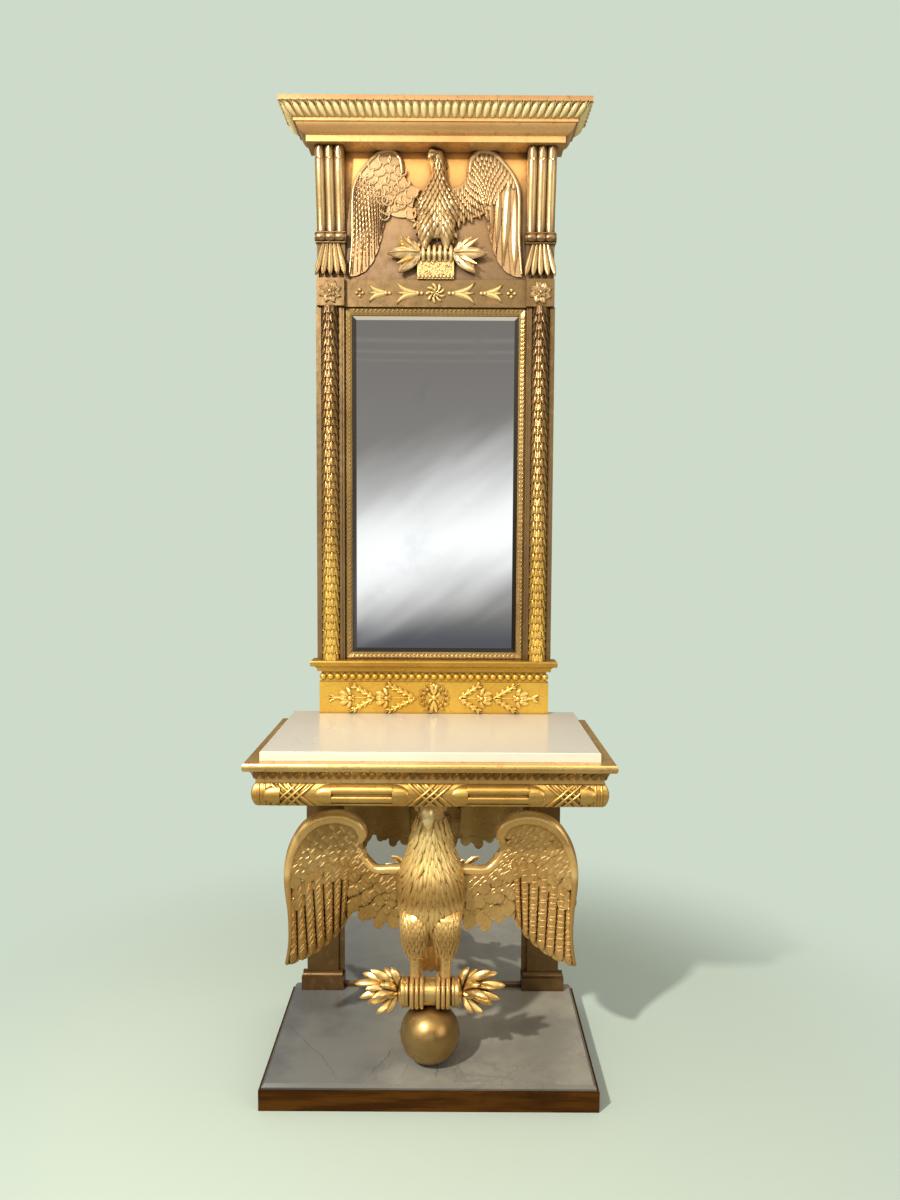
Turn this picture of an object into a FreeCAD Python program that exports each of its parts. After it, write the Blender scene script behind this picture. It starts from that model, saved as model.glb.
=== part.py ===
import FreeCAD, Part
import math
import os

os.makedirs("parts", exist_ok=True)

# Empire pier table with its pier mirror, carved and gilded softwood.
# Row frame: X to the right, -Y to the front, +Z up, origin under the middle of the overall box.
# All sizes are in millimetres.  Boards stand against a wall plane at +Y.

V = FreeCAD.Vector

# ---------------------------------------------------------------- driving dimensions
# Overall setting out
top_half_width = 400.0          # marble top, half its width
top_depth = 500.0               # marble top, wall to front edge
lip_overhang = 35.0             # moulding lip beyond the marble, front and sides
glue_gap = 0.05                 # play left round a glued-in piece
rod_play = 0.1                  # radial play of the iron rod and the dowels

# Plinth
plinth_half_width = 407.5
plinth_depth = 518.0
plinth_height = 50.0
plinth_board = 24.0
bearer_width = 120.0
slab_thick = 12.0
slab_inset = 6.0
slab_chamfer = 7.0

# Ball, thunderbolt and eagle
ball_radius = 74.5
ball_flat = 1.5                 # depth of the flat the ball stands on
ball_from_wall = 405.0
rod_radius = 6.0
rod_foot = 8.0                  # end of the rod above the floor
shaft_radius = 33.0
shaft_half_length = 72.0
shaft_saddle = 1.5              # how far the ball is let into the thunderbolt
ring_radius = 36.0
ring_width = 13.0
flame_reach = 116.0             # neck of a flame bunch to its longest tip
flame_radius = 11.0
bud_length = 46.0               # heart of a flame bunch
bud_radius = 15.0
bolt_neck_length = 8.0
bolt_neck_radius = 12.0
toe_radius = 5.4
toe_pitch = 11.8
foot_offset = 32.5              # middle of a foot from the middle of the eagle
toe_sweep = 195.0               # degrees a toe wraps round the thunderbolt
body_from_wall = 353.0          # middle of the torso
body_half_width = 80.0
body_half_depth = 72.0
neck_radius = 32.0
thigh_radius = 36.0
shank_radius = 13.0
tail_behind_body = 38.0         # back of the tail behind the middle of the torso
tail_spread = 12.0              # beyond the feet, each side
tail_thick = 18.0
tail_rib_radius = 14.0
tail_feathers = 5
wing_root_x = 70.0
wing_reach_x = 367.0
wing_tip_above_slab = 216.0
wing_top_below_apron = 79.0
wing_from_wall = 307.5          # back of the wing at its deepest
wing_bow_radius = 560.0         # the wings are hollow towards the front
wing_plate = 12.0
covert_step = 4.5
wing_roll_radius = 15.0
wing_feathers = 7
wing_groove = 3.0               # depth of the cut between two long feathers
wing_coverts = 11               # small feathers across one layer
feather_bulge = 4.5
loose = 100.0                   # extra length of cutting shapes
wing_dowel_radius = 8.0
wing_dowel_length = 70.0

# Rear legs and the glass between them
leg_half_gap = 272.0            # middle to the inner side of a rear leg
leg_width = 90.0
leg_thick = 30.0
foot_block_height = 52.0
foot_block_overhang = 15.0
foot_cove_height = 14.0
foot_fillet = 3.0               # flat at the edge of the foot block, outside its cove
lower_board = 8.0
lower_glass_thick = 5.0
glass_bead = 10.0

# Top frame
apron_bottom = 740.0            # floor to the underside of the apron
apron_height = 55.0
apron_board = 26.0
apron_bulge = 11.0
apron_set_out = 5.0             # apron arris beyond the marble line
apron_reed_rise = 5.0
apron_reed_sunk = 3.0           # hidden root of a reed or strap inside the apron
apron_reed_start = 96.0         # middle of the front to the reeds
apron_reed_length = 132.0
strap_width = 9.0
strap_pitch = 19.0
strap_spread = 58.0             # sideways run of a strap from the apron's foot to its top
strap_rise = 3.5
strap_edge = 1.0                # strap ends inside the apron's edges, and their height there
end_strap_from_corner = 78.0
cross_rail_width = 90.0
rail_raise = 2.0                # underside of inner rails above the apron's
corner_block = 34.0
fillet_height = 10.0
fillet_out = 8.0                # fillet beyond the marble line
fillet_step = 2.0
cavetto_rise = 0.62             # share of the leaf band's height where its hollow turns
cavetto_out = 15.0
lip_shoulder = 6.0
lip_round = 3.0
leaf_band_height = 22.0
lip_height = 18.0
moulding_width = 70.0           # inwards from the marble line
marble_thick = 22.0
marble_edge = 3.0

# Mirror, from the marble up
base_half_width = 323.0
base_height = 90.0
base_depth = 34.0
wreath_radius = 31.0
wreath_stem = 3.0
wreath_leaf = 16.0
wreath_leaves = 14
torch_leaf = 25.0
palmette_leaf = 33.0
palmette_angles = (-80, -42, 0, 42, 80)
chevron_rise = 33.0             # degrees between a chevron's leg and the middle line
chevron_width = 12.0
ornament_margin = 3.0           # tips of the chevrons inside the board's edges
ornament_thick = 5.0
bead_band_height = 31.0
bead_radius = 9.6
bead_pitch = 20.6
bead_setback = 6.0              # ends of the bead row inside the base
bead_line_back = 4.0            # middle line of the beads behind the base board's face
base_lip_height = 32.0
base_lip_overhang = 23.0
base_lip_round = 4.5
base_lip_seat = 8.0             # back of the moulding in front of the wall
stile_height = 976.0
stile_inner_x = 251.0
stile_outer_x = 328.0
stile_thick = 34.0
stile_rebate = 6.0              # step along the inner front edge
channel_inner_x = 265.0
channel_outer_x = 314.0
channel_floor = 14.0            # wood left behind the column
column_radius = 22.5
column_from_wall = 33.0
leaf_row_pitch = 21.8
leaf_row_step = 2.6
slip_width = 20.0
slip_thick = 9.0
mirror_glass_thick = 5.0
mirror_glass_bevel = 12.0
mirror_bevel_drop = 2.0
glass_rebate = 7.0              # glass edge under the slips
backboard_thick = 8.0
frieze_height = 74.0
frieze_thick = 30.0
frieze_leaf_thick = 4.5
frieze_bead = 4.0
frieze_rosette_radius = 24.0
bellflower_leaf = 42.0
rosette_block_inner_x = 249.0
rosette_block_outer_x = 325.0
rosette_block_thick = 45.0
rosette_radius = 31.0
rosette_thick = 8.0
panel_height = 338.0
panel_thick = 14.0
panel_from_wall = 12.0
bracket_inner_x = 247.0
bracket_outer_x = 324.0
bracket_foot_depth = 38.0
bracket_waist_depth = 44.0
bracket_top_depth = 80.0
bracket_leaf_height = 96.0
bracket_collar_height = 22.0
bracket_collar_out = 9.0
bracket_collar_side = 4.0
bracket_collar_round = 7.0
bracket_foot_hollow = 8.0       # sweep of the bracket's foot behind its leaf
bracket_leaf_fan = 30.0         # how far the lobes of the leaf start apart
bracket_leaf_radius = 9.5
reed_count = 3
reed_proud = 9.0
reed_groove = 1.0
cornice_height = 92.0
cornice_bed_out = 19.0
cornice_crown_out = 82.0
tongue_pitch = 20.8
tongue_radius = 6.5
tongue_low = (0.49, 0.555)      # foot of a cornice tongue, in shares of its reach and height
tongue_high = (0.825, 0.825)

# Relief eagle on the tablet
relief_half_depth = 34.0
relief_body_half_width = 56.0
relief_lean = 6.0               # the body stands a little right of the middle
relief_beak = 17.0
relief_wing_root_x = 45.0
relief_wing_reach_x = 236.0
relief_wing_rise = 8.0          # wing tip above the tablet's foot
relief_wing_height = 334.0
relief_plate = 6.0
relief_step = 3.0
relief_coverts = 8              # small feathers across one layer
relief_roll_radius = 6.0
relief_groove = 2.0
relief_head_drop = 4.0          # crown below the cornice soffit
relief_bolt_radius = 13.0
relief_bolt_half_length = 50.0
relief_bolt_shift = 4.0         # the relief eagle stands a little right of the middle
relief_flame = 88.0
relief_bolt_above_foot = 66.0
relief_tablet_thick = 12.0
relief_claw_proud = 4.0

# ---------------------------------------------------------------- places worked out
wall_y = (top_depth + lip_overhang) / 2.0
front_y = wall_y - top_depth                      # marble line at the front
plinth_front_y = wall_y - plinth_depth
slab_top = plinth_height + slab_thick
ball_y = wall_y - ball_from_wall
ball_z = slab_top + ball_radius - ball_flat
shaft_z = ball_z + ball_radius + shaft_radius - shaft_saddle
feet_z = shaft_z + shaft_radius + toe_radius      # where the shanks meet the toes
rail_bottom = apron_bottom + rail_raise
eagle_height = rail_bottom - feet_z
body_y = wall_y - body_from_wall
apron_top = apron_bottom + apron_height
lip_top = apron_top + fillet_height + leaf_band_height + lip_height
marble_top = lip_top + marble_thick
base_top = marble_top + base_height
bead_z = base_top + bead_band_height / 2.0
base_lip_bottom = base_top + bead_band_height
stile_bottom = base_lip_bottom + base_lip_height
stile_top = stile_bottom + stile_height
frieze_top = stile_top + frieze_height
cornice_bottom = frieze_top + panel_height
overall_top = cornice_bottom + cornice_height
leg_outer_x = leg_half_gap + leg_width
leg_middle_x = leg_half_gap + leg_width / 2.0
column_x = (channel_inner_x + channel_outer_x) / 2.0
column_y = wall_y - column_from_wall
slip_inner_x = stile_inner_x - slip_width
bracket_middle_x = (bracket_inner_x + bracket_outer_x) / 2.0
panel_face_y = wall_y - panel_from_wall - panel_thick
cornice_width = bracket_top_depth - panel_from_wall - panel_thick    # bracket line to the panel


# ---------------------------------------------------------------- helpers
def box(x0, x1, y0, y1, z0, z1):
    return Part.makeBox(x1 - x0, y1 - y0, z1 - z0, V(x0, y0, z0))


def mirrored(shape):
    """The same piece on the other side of the middle."""
    return shape.mirror(V(0, 0, 0), V(1, 0, 0))


def face_of(steps, place):
    """Face from an outline: (u, v) ends a line, ((u, v), (u, v)) is an arc's middle and end."""
    def end_of(step):
        return step[1] if isinstance(step[0], tuple) else step
    edges = []
    last = end_of(steps[-1])
    for step in steps:
        end = end_of(step)
        if isinstance(step[0], tuple):
            edges.append(Part.Arc(place(*last), place(*step[0]), place(*end)).toShape())
        else:
            edges.append(Part.LineSegment(place(*last), place(*end)).toShape())
        last = end
    return Part.Face(Part.Wire(edges))


def run_along_x(steps, x0, x1, y_line):
    """Moulding with a profile of (out, z), out being the distance in front of y_line."""
    face = face_of(steps, lambda out, z: V(x0, y_line - out, z))
    return face.extrude(V(x1 - x0, 0, 0))


def run_along_y(steps, x_line, y0, y1):
    """The same on the right-hand side, out being the distance beyond x_line."""
    face = face_of(steps, lambda out, z: V(x_line + out, y0, z))
    return face.extrude(V(0, y1 - y0, 0))


def plan_prism(points, z0, z1):
    wire = Part.makePolygon([V(x, y, z0) for x, y in points + points[:1]])
    return Part.Face(wire).extrude(V(0, 0, z1 - z0))


def mitred_set(steps, half, y_line):
    """Front run, left return and right return of one moulding, mitred at the two front corners."""
    points = [p for s in steps for p in (s if isinstance(s[0], tuple) else (s,))]
    z0 = min(z for out, z in points) - 1.0
    z1 = max(z for out, z in points) + 1.0
    reach = max(out for out, z in points) + 1.0
    inward = -min(out for out, z in points)
    front_plan = [(-half - reach, y_line - reach), (half + reach, y_line - reach),
                  (half - inward, y_line + inward), (-half + inward, y_line + inward)]
    side_plan = [(half + reach, y_line - reach), (half + reach, wall_y),
                 (half - inward, wall_y), (half - inward, y_line + inward)]
    front = run_along_x(steps, -half - reach, half + reach, y_line)
    front = front.common(plan_prism(front_plan, z0, z1))
    right = run_along_y(steps, half, y_line - reach, wall_y)
    right = right.common(plan_prism(side_plan, z0, z1))
    return front, mirrored(right), right


def ring_loft(rings):
    """Smooth solid through horizontal ellipses (x, y, z, half width, half depth)."""
    count = 16
    wires = []
    for x, y, z, half_x, half_y in rings:
        points = [V(x + half_x * math.cos(2 * math.pi * k / count),
                    y + half_y * math.sin(2 * math.pi * k / count), z) for k in range(count)]
        curve = Part.BSplineCurve()
        curve.interpolate(points, PeriodicFlag=True)
        wires.append(Part.Wire(curve.toShape()))
    return Part.makeLoft(wires, True, False)


def tube_loft(stations):
    """Smooth solid through round sections (point, radius) set square to the line they make."""
    wires = []
    last = len(stations) - 1
    for k, (point, radius) in enumerate(stations):
        ahead = stations[min(k + 1, last)][0]
        behind = stations[max(k - 1, 0)][0]
        wires.append(Part.Wire(Part.makeCircle(radius, point, ahead - behind)))
    return Part.makeLoft(wires, True, False)


def polygon_wire(centre, u, v, half_u, half_v, sides):
    """Closed flat outline of a given number of sides, u and v being its two directions."""
    points = [centre + u * (half_u * math.cos(2 * math.pi * k / sides)) +
              v * (half_v * math.sin(2 * math.pi * k / sides)) for k in range(sides)]
    return Part.makePolygon(points + points[:1])


def spindle(start, direction, length, radius, widest=0.4):
    """Carved leaf or flame with flat facets: it swells from its root and runs out to a fine tip."""
    along = V(direction).normalize()
    u = along.cross(V(0, 1, 0) if abs(along.y) < 0.8 else V(1, 0, 0)).normalize()
    v = along.cross(u)
    sides = 6
    swell = length * widest
    stations = ((0, 0.45), (swell * 0.5, 0.86), (swell, 1.0), (swell + (length - swell) * 0.55, 0.62),
                (length, 0.10))
    wires = [polygon_wire(start + along * at, u, v, radius * share, radius * share, sides)
             for at, share in stations]
    return Part.makeLoft(wires, True, True)


def petal(x, z, angle, length, width, y_back, thick):
    """Pointed leaf on a board, growing from (x, z) towards angle (degrees from +X), its sides bevelled."""
    a = math.radians(angle)
    along = V(math.cos(a), 0, math.sin(a))
    across = V(-math.sin(a), 0, math.cos(a))
    shares = ((0.02, 0.16), (0.25, 0.80), (0.50, 1.0), (0.75, 0.72), (1.0, 0.06))

    def outline(y, narrow):
        side = [V(x, y, z) + along * (length * at) + across * (width / 2 * share * narrow)
                for at, share in shares]
        other = [V(x, y, z) + along * (length * at) - across * (width / 2 * share * narrow)
                 for at, share in reversed(shares)]
        points = side + other
        return Part.makePolygon(points + points[:1])
    return Part.makeLoft([outline(y_back, 1.0), outline(y_back - thick, 0.45)], True, True)


def boss(x, z, radius, y_back, thick):
    """Domed button on a board, with carved facets."""
    sides = 10
    stations = ((0, 1.0), (0.45, 0.92), (0.80, 0.66), (1.0, 0.30))
    wires = [polygon_wire(V(x, y_back - thick * at, z), V(1, 0, 0), V(0, 0, 1),
                          radius * share, radius * share, sides) for at, share in stations]
    return Part.makeLoft(wires, True, True)


def fused(shapes):
    first = shapes[0]
    whole = first.multiFuse(shapes[1:]) if len(shapes) > 1 else first
    return whole.removeSplitter()


def save(name, *solids):
    """One STEP file for each node; several solids make a node of like pieces."""
    found = [s for shape in solids for s in shape.Solids]
    shape = found[0] if len(found) == 1 else Part.makeCompound(found)
    if not shape.isValid() or shape.Volume <= 0:
        print("check the shape of", name)
    shape.exportStep("parts/" + name + ".step")
    low = shape.BoundBox
    print("%-26s %2d solid %9.0f mm3  x %.0f..%.0f y %.0f..%.0f z %.0f..%.0f" % (
        name, len(found), shape.Volume, low.XMin, low.XMax, low.YMin, low.YMax, low.ZMin, low.ZMax))


# ---------------------------------------------------------------- plinth
def rod_hole(radius):
    return Part.makeCylinder(radius, overall_top, V(0, ball_y, 0))


def make_plinth():
    inner_half = plinth_half_width - plinth_board
    save("plinth_front", box(-plinth_half_width, plinth_half_width, plinth_front_y,
                             plinth_front_y + plinth_board, 0, plinth_height))
    side = box(inner_half, plinth_half_width, plinth_front_y + plinth_board, wall_y, 0, plinth_height)
    save("plinth_sides", side, mirrored(side))
    save("plinth_back", box(-inner_half, inner_half, wall_y - plinth_board, wall_y, 0, plinth_height))
    bearer = box(-bearer_width / 2, bearer_width / 2, plinth_front_y + plinth_board,
                 wall_y - plinth_board, 0, plinth_height)
    save("plinth_bearer", bearer.cut(rod_hole(rod_radius + rod_play)))
    slab = box(-plinth_half_width + slab_inset, plinth_half_width - slab_inset,
               plinth_front_y + slab_inset, wall_y, plinth_height, slab_top)
    top_edges = [e for e in slab.Edges
                 if e.BoundBox.ZMin > slab_top - 0.01 and e.BoundBox.YMin < wall_y - 0.01]
    slab = slab.makeChamfer(slab_chamfer, top_edges)
    save("plinth_slab", slab.cut(rod_hole(rod_radius + rod_play)))


# ---------------------------------------------------------------- ball and thunderbolt
def ball_shape():
    ball = Part.makeSphere(ball_radius, V(0, ball_y, ball_z))
    return ball.cut(box(-ball_radius, ball_radius, ball_y - ball_radius, ball_y + ball_radius,
                        slab_top - ball_radius, slab_top))


def make_ball(ball):
    save("ball", ball.cut(rod_hole(rod_radius + rod_play)))
    rod_top = shaft_z + shaft_radius * 0.5
    save("centre_rod", Part.makeCylinder(rod_radius, rod_top - rod_foot, V(0, ball_y, rod_foot)))
    return rod_top


def make_thunderbolt(ball, rod_top):
    half = shaft_half_length
    neck = half + bolt_neck_length
    steps = [(0, 0), (shaft_radius, 0), (shaft_radius, half - ring_width),
             ((ring_radius + 1.5, half - ring_width / 2), (ring_radius - 1.0, half)),
             (bolt_neck_radius, neck),
             (0, neck)]
    face = face_of(steps, lambda r, along: V(along, ball_y - r, shaft_z))
    right = face.revolve(V(0, ball_y, shaft_z), V(1, 0, 0), 360)
    shaft = fused([right, mirrored(right)])
    bore = Part.makeCylinder(rod_radius + rod_play, rod_top - ball_z, V(0, ball_y, ball_z))
    save("thunderbolt_shaft", shaft.cut(ball).cut(bore))
    root = V(neck, ball_y, shaft_z)
    flames = [spindle(V(half, ball_y, shaft_z), V(1, 0, 0), bud_length, bud_radius)]
    # (rise, swing to the front, share of the full reach), degrees
    for rise, swing, share in ((72, 0, 0.58), (38, -22, 0.86), (26, 30, 0.92), (4, -8, 1.0),
                               (-12, 34, 0.82), (-30, -14, 0.90), (-58, 8, 0.62),
                               (8, -62, 0.66), (-16, 68, 0.60), (46, 60, 0.55)):
        a = math.radians(rise)
        b = math.radians(swing)
        aim = V(math.cos(a) * math.cos(b), -math.sin(b) * math.cos(a), math.sin(a))
        flames.append(spindle(root, aim, flame_reach * share, flame_radius))
    bunch = fused(flames)
    bunch = bunch.common(box(neck, wing_reach_x, -wall_y, wall_y, slab_top, apron_bottom))
    save("thunderbolt_flames_right", bunch)
    save("thunderbolt_flames_left", mirrored(bunch))


# ---------------------------------------------------------------- eagle
def eagle_z(share):
    return feet_z + eagle_height * share


def torso_shape():
    w = body_half_width
    d = body_half_depth
    y = body_y
    n = neck_radius
    return ring_loft([
        (0, y + 12, eagle_z(0.13), w * 0.34, d * 0.36),
        (0, y + 8, eagle_z(0.21), w * 0.74, d * 0.70),
        (0, y + 2, eagle_z(0.33), w * 0.95, d * 0.94),
        (0, y - 1, eagle_z(0.45), w, d),
        (0, y, eagle_z(0.55), w * 0.93, d * 0.94),
        (0, y - 2, eagle_z(0.64), w * 0.74, d * 0.76),
        (0, y - 6, eagle_z(0.73), n * 1.48, n * 1.42),
        (0, y - 12, eagle_z(0.81), n * 1.20, n * 1.18),
        (0, y - 18, eagle_z(0.885), n, n * 1.02)])


def leg_shape():
    y = body_y
    x = foot_offset
    r = thigh_radius
    s = shank_radius
    foot_y = ball_y
    return ring_loft([
        (x + 4, foot_y, feet_z - toe_radius, s * 1.05, s * 1.1),
        (x + 5, foot_y, eagle_z(0.03), s * 0.95, s),
        (x + 6, foot_y + 3, eagle_z(0.09), s * 1.1, s * 1.25),
        (x + 7, foot_y + 8, eagle_z(0.15), s * 1.9, s * 2.1),
        (x + 6, foot_y + 14, eagle_z(0.22), r * 0.92, r * 1.05),
        (x + 5, foot_y + 22, eagle_z(0.29), r, r * 1.2),
        (x + 2, y - 8, eagle_z(0.37), r * 0.9, r * 1.15),
        (x - 4, y, eagle_z(0.45), r * 0.62, r * 0.8)])


def toe_shape(x):
    """One toe: a round bar bent about the thunderbolt, ending in a pointed claw."""
    bend = shaft_radius + toe_radius + glue_gap
    start = math.radians(90.0 + 62.0)
    axis = V(x, ball_y, shaft_z)
    centre = axis + V(0, -bend * math.cos(start), bend * math.sin(start))
    tangent = V(0, -math.sin(start), -math.cos(start))
    disc = Part.Face(Part.Wire(Part.makeCircle(toe_radius, centre, tangent)))
    bar = disc.revolve(axis, V(1, 0, 0), toe_sweep)
    end = start - math.radians(toe_sweep)
    tip = axis + V(0, -bend * math.cos(end), bend * math.sin(end))
    aim = V(0, -math.sin(end), -math.cos(end))
    claw = Part.makeCone(toe_radius, 0.8, toe_radius * 2.2, tip, aim)
    knuckle = Part.makeSphere(toe_radius * 1.18, axis + V(0, -bend * math.cos(math.radians(40)),
                                                         bend * math.sin(math.radians(40))))
    return [bar, claw, knuckle]


def make_eagle(ball):
    torso = torso_shape()
    seat = Part.makeCylinder(shaft_radius, 2 * wing_reach_x, V(-wing_reach_x, ball_y, shaft_z),
                             V(1, 0, 0))
    leg = leg_shape()
    toes = []
    for k in (-1, 0, 1):
        toes += toe_shape(foot_offset + k * toe_pitch)
    right_leg = fused([leg] + toes).cut(torso).cut(seat).cut(ball)
    right_leg = right_leg.common(box(glue_gap, wing_reach_x, -wall_y, wall_y, slab_top, apron_bottom))
    save("eagle_leg_right", right_leg)
    save("eagle_leg_left", mirrored(right_leg))

    tail = make_tail().cut(torso).cut(leg).cut(mirrored(leg))
    save("eagle_tail", max(tail.Solids, key=lambda s: s.Volume))

    head = head_shape().cut(torso)
    save("eagle_head", max(head.Solids, key=lambda s: s.Volume))

    dowel_start = V(wing_root_x - wing_dowel_length * 0.62, wing_middle_y(wing_root_x) + 1.0,
                    eagle_z(0.49))
    dowel = Part.makeCylinder(wing_dowel_radius, wing_dowel_length, dowel_start, V(1, 0, 0))
    hole = Part.makeCylinder(wing_dowel_radius + rod_play, wing_dowel_length, dowel_start, V(1, 0, 0))
    save("wing_dowels", dowel, mirrored(dowel))
    save("eagle_body", torso.cut(hole).cut(mirrored(hole)))

    wing = console_wing()
    wing = wing.cut(torso).cut(leg).cut(hole)
    wing = max(wing.Solids, key=lambda s: s.Volume)
    save("wing_right", wing)
    save("wing_left", mirrored(wing))


def make_tail():
    """Fan of tail feathers hanging behind the legs."""
    top = eagle_z(0.24)
    low = eagle_z(-0.03)
    y_back = body_y + tail_behind_body
    half = foot_offset + tail_spread
    count = tail_feathers
    width = 2.0 * half / count
    steps = [(half * 0.62, top), (-half * 0.62, top)]
    for k in range(count):
        x0 = -half + k * width
        steps.append((x0, low) if k == 0 else ())
        steps.append(((x0 + width / 2, low - width * 0.45), (x0 + width, low)))
    steps = [s for s in steps if s]
    face = face_of(steps, lambda x, z: V(x, y_back, z))
    plate = face.extrude(V(0, -tail_thick, 0))
    rib = spindle(V(0, y_back - tail_rib_radius, top), V(0, 0, -1), (top - low) * 1.02,
                  tail_rib_radius, 0.3)
    return fused([plate, rib])


def head_shape():
    """Bent head: a skull that meets the cross rail, and a hooked beak turned a little to the left."""
    n = neck_radius
    y = body_y - 18
    turn = math.radians(12.0)
    ahead = V(-math.sin(turn), -math.cos(turn), 0)
    skull = ring_loft([
        (0, y, eagle_z(0.885), n, n * 1.02),
        (-1, y - 5, eagle_z(0.915), n * 1.02, n * 1.14),
        (-2, y - 9, eagle_z(0.945), n * 1.03, n * 1.24),
        (-2, y - 9, eagle_z(0.975), n * 0.92, n * 1.08),
        (-2, y - 6, eagle_z(1.0), n * 0.66, n * 0.74)])
    base = V(-2, y - 9, eagle_z(0.945)) + ahead * (n * 0.8)
    beak = tube_loft([
        (base, n * 0.56),
        (base + ahead * (n * 0.55) + V(0, 0, -n * 0.10), n * 0.52),
        (base + ahead * (n * 0.95) + V(0, 0, -n * 0.52), n * 0.40),
        (base + ahead * (n * 1.02) + V(0, 0, -n * 1.02), n * 0.25),
        (base + ahead * (n * 0.92) + V(0, 0, -n * 1.45), n * 0.06)])
    return fused([skull, beak])


def wing_middle_y(x):
    """Back of the console wings: a hollow curve whose deepest line stands at mid span."""
    middle = (wing_root_x + wing_reach_x) / 2.0
    rise = wing_bow_radius - math.sqrt(wing_bow_radius ** 2 - (x - middle) ** 2)
    return wall_y - wing_from_wall - rise


# Wing outlines in shares of their span (from root to tip) and height (tip to top).
console_edge = [(-0.10, 0.655), (0.10, 0.648), (0.24, 0.640), (0.345, 0.715), (0.405, 0.800),
                (0.375, 0.885), (0.445, 0.970), (0.585, 1.0), (0.755, 0.975), (0.885, 0.886),
                (0.975, 0.715), (0.990, 0.560), (0.965, 0.360), (0.965, 0.180), (1.0, 0.0)]
console_trail = [(1.0, 0.0), (0.80, 0.052), (0.58, 0.190), (0.44, 0.362)]
relief_edge = [(-0.10, 0.690), (0.03, 0.698), (0.147, 0.733), (0.225, 0.814), (0.246, 0.898),
               (0.33, 0.973), (0.435, 1.0), (0.60, 0.964), (0.78, 0.862), (0.89, 0.772),
               (0.948, 0.665), (0.953, 0.485), (0.958, 0.275), (1.0, 0.0)]
relief_trail = [(1.0, 0.0), (0.81, 0.03), (0.62, 0.18), (0.48, 0.52)]


def spline_edge(points):
    curve = Part.BSplineCurve()
    curve.interpolate(points)
    return curve


def scallops(curve, count, bulge, side):
    """Feather ends: equal arcs from one end of a curve to the other."""
    first = curve.FirstParameter
    span = curve.LastParameter - first
    ends = [curve.value(first + span * k / count) for k in range(count + 1)]
    arcs = []
    for a, b in zip(ends, ends[1:]):
        chord = b - a
        out = V(chord.z, 0, -chord.x).normalize() * (bulge * side)
        arcs.append(Part.Arc(a, (a + b) * 0.5 + out, b).toShape())
    return arcs


def wing_prism(edge, trail, lobes, place, count, bulge, y_back, depth):
    """Straight-walled block with the wing's outline, which its curved layers are cut from."""
    lead = spline_edge([place(*p) for p in edge])
    feathers = scallops(spline_edge([place(*p) for p in trail]), count, bulge, -1)
    inner = scallops(spline_edge([place(*p) for p in lobes]), 2, bulge * 2.2, -1)
    close = Part.LineSegment(place(*lobes[-1]), place(*edge[0])).toShape()
    wire = Part.Wire([lead.toShape()] + feathers + inner + [close])
    face = Part.Face(wire)
    face.translate(V(0, y_back, 0))
    return face.extrude(V(0, -depth, 0))


def covert_prism(points, place, count, bulge, y_back, depth):
    """Block over one layer of small feathers; its lower side is scalloped, the rest is loose."""
    low = scallops(spline_edge([place(*p) for p in points]), count, bulge, -1)
    over = place(points[-1][0], 1.3)
    back = place(points[0][0], 1.3)
    last = place(*points[-1])
    first = place(*points[0])
    edges = low + [Part.LineSegment(last, over).toShape(), Part.LineSegment(over, back).toShape(),
                   Part.LineSegment(back, first).toShape()]
    face = Part.Face(Part.Wire(edges))
    face.translate(V(0, y_back, 0))
    return face.extrude(V(0, -depth, 0))


def feather_grooves(trail, place, count, heads, face_y, depth, levels):
    """Cuts between the long feathers, from a line of heads (u, v) to the joints of their tips."""
    curve = spline_edge([place(*p) for p in trail])
    span = curve.LastParameter - curve.FirstParameter
    (u_out, v_out), (u_in, v_in) = heads
    grooves = []
    for k in range(1, count):
        share = k / count
        tip = curve.value(curve.FirstParameter + span * share)
        head = place(u_out + (u_in - u_out) * share, v_out + (v_in - v_out) * share)
        across = (tip - head).cross(V(0, 1, 0)).normalize()
        wires = []
        for level in range(levels + 1):
            at = level / levels
            p = head + (tip - head) * (at * 1.06)
            half = depth * (0.6 + 0.4 * at)
            wires.append(polygon_wire(V(p.x, face_y(p.x), p.z), across, V(0, 1, 0), half, half, 4))
        grooves.append(Part.makeLoft(wires, True, True))
    return grooves


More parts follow.
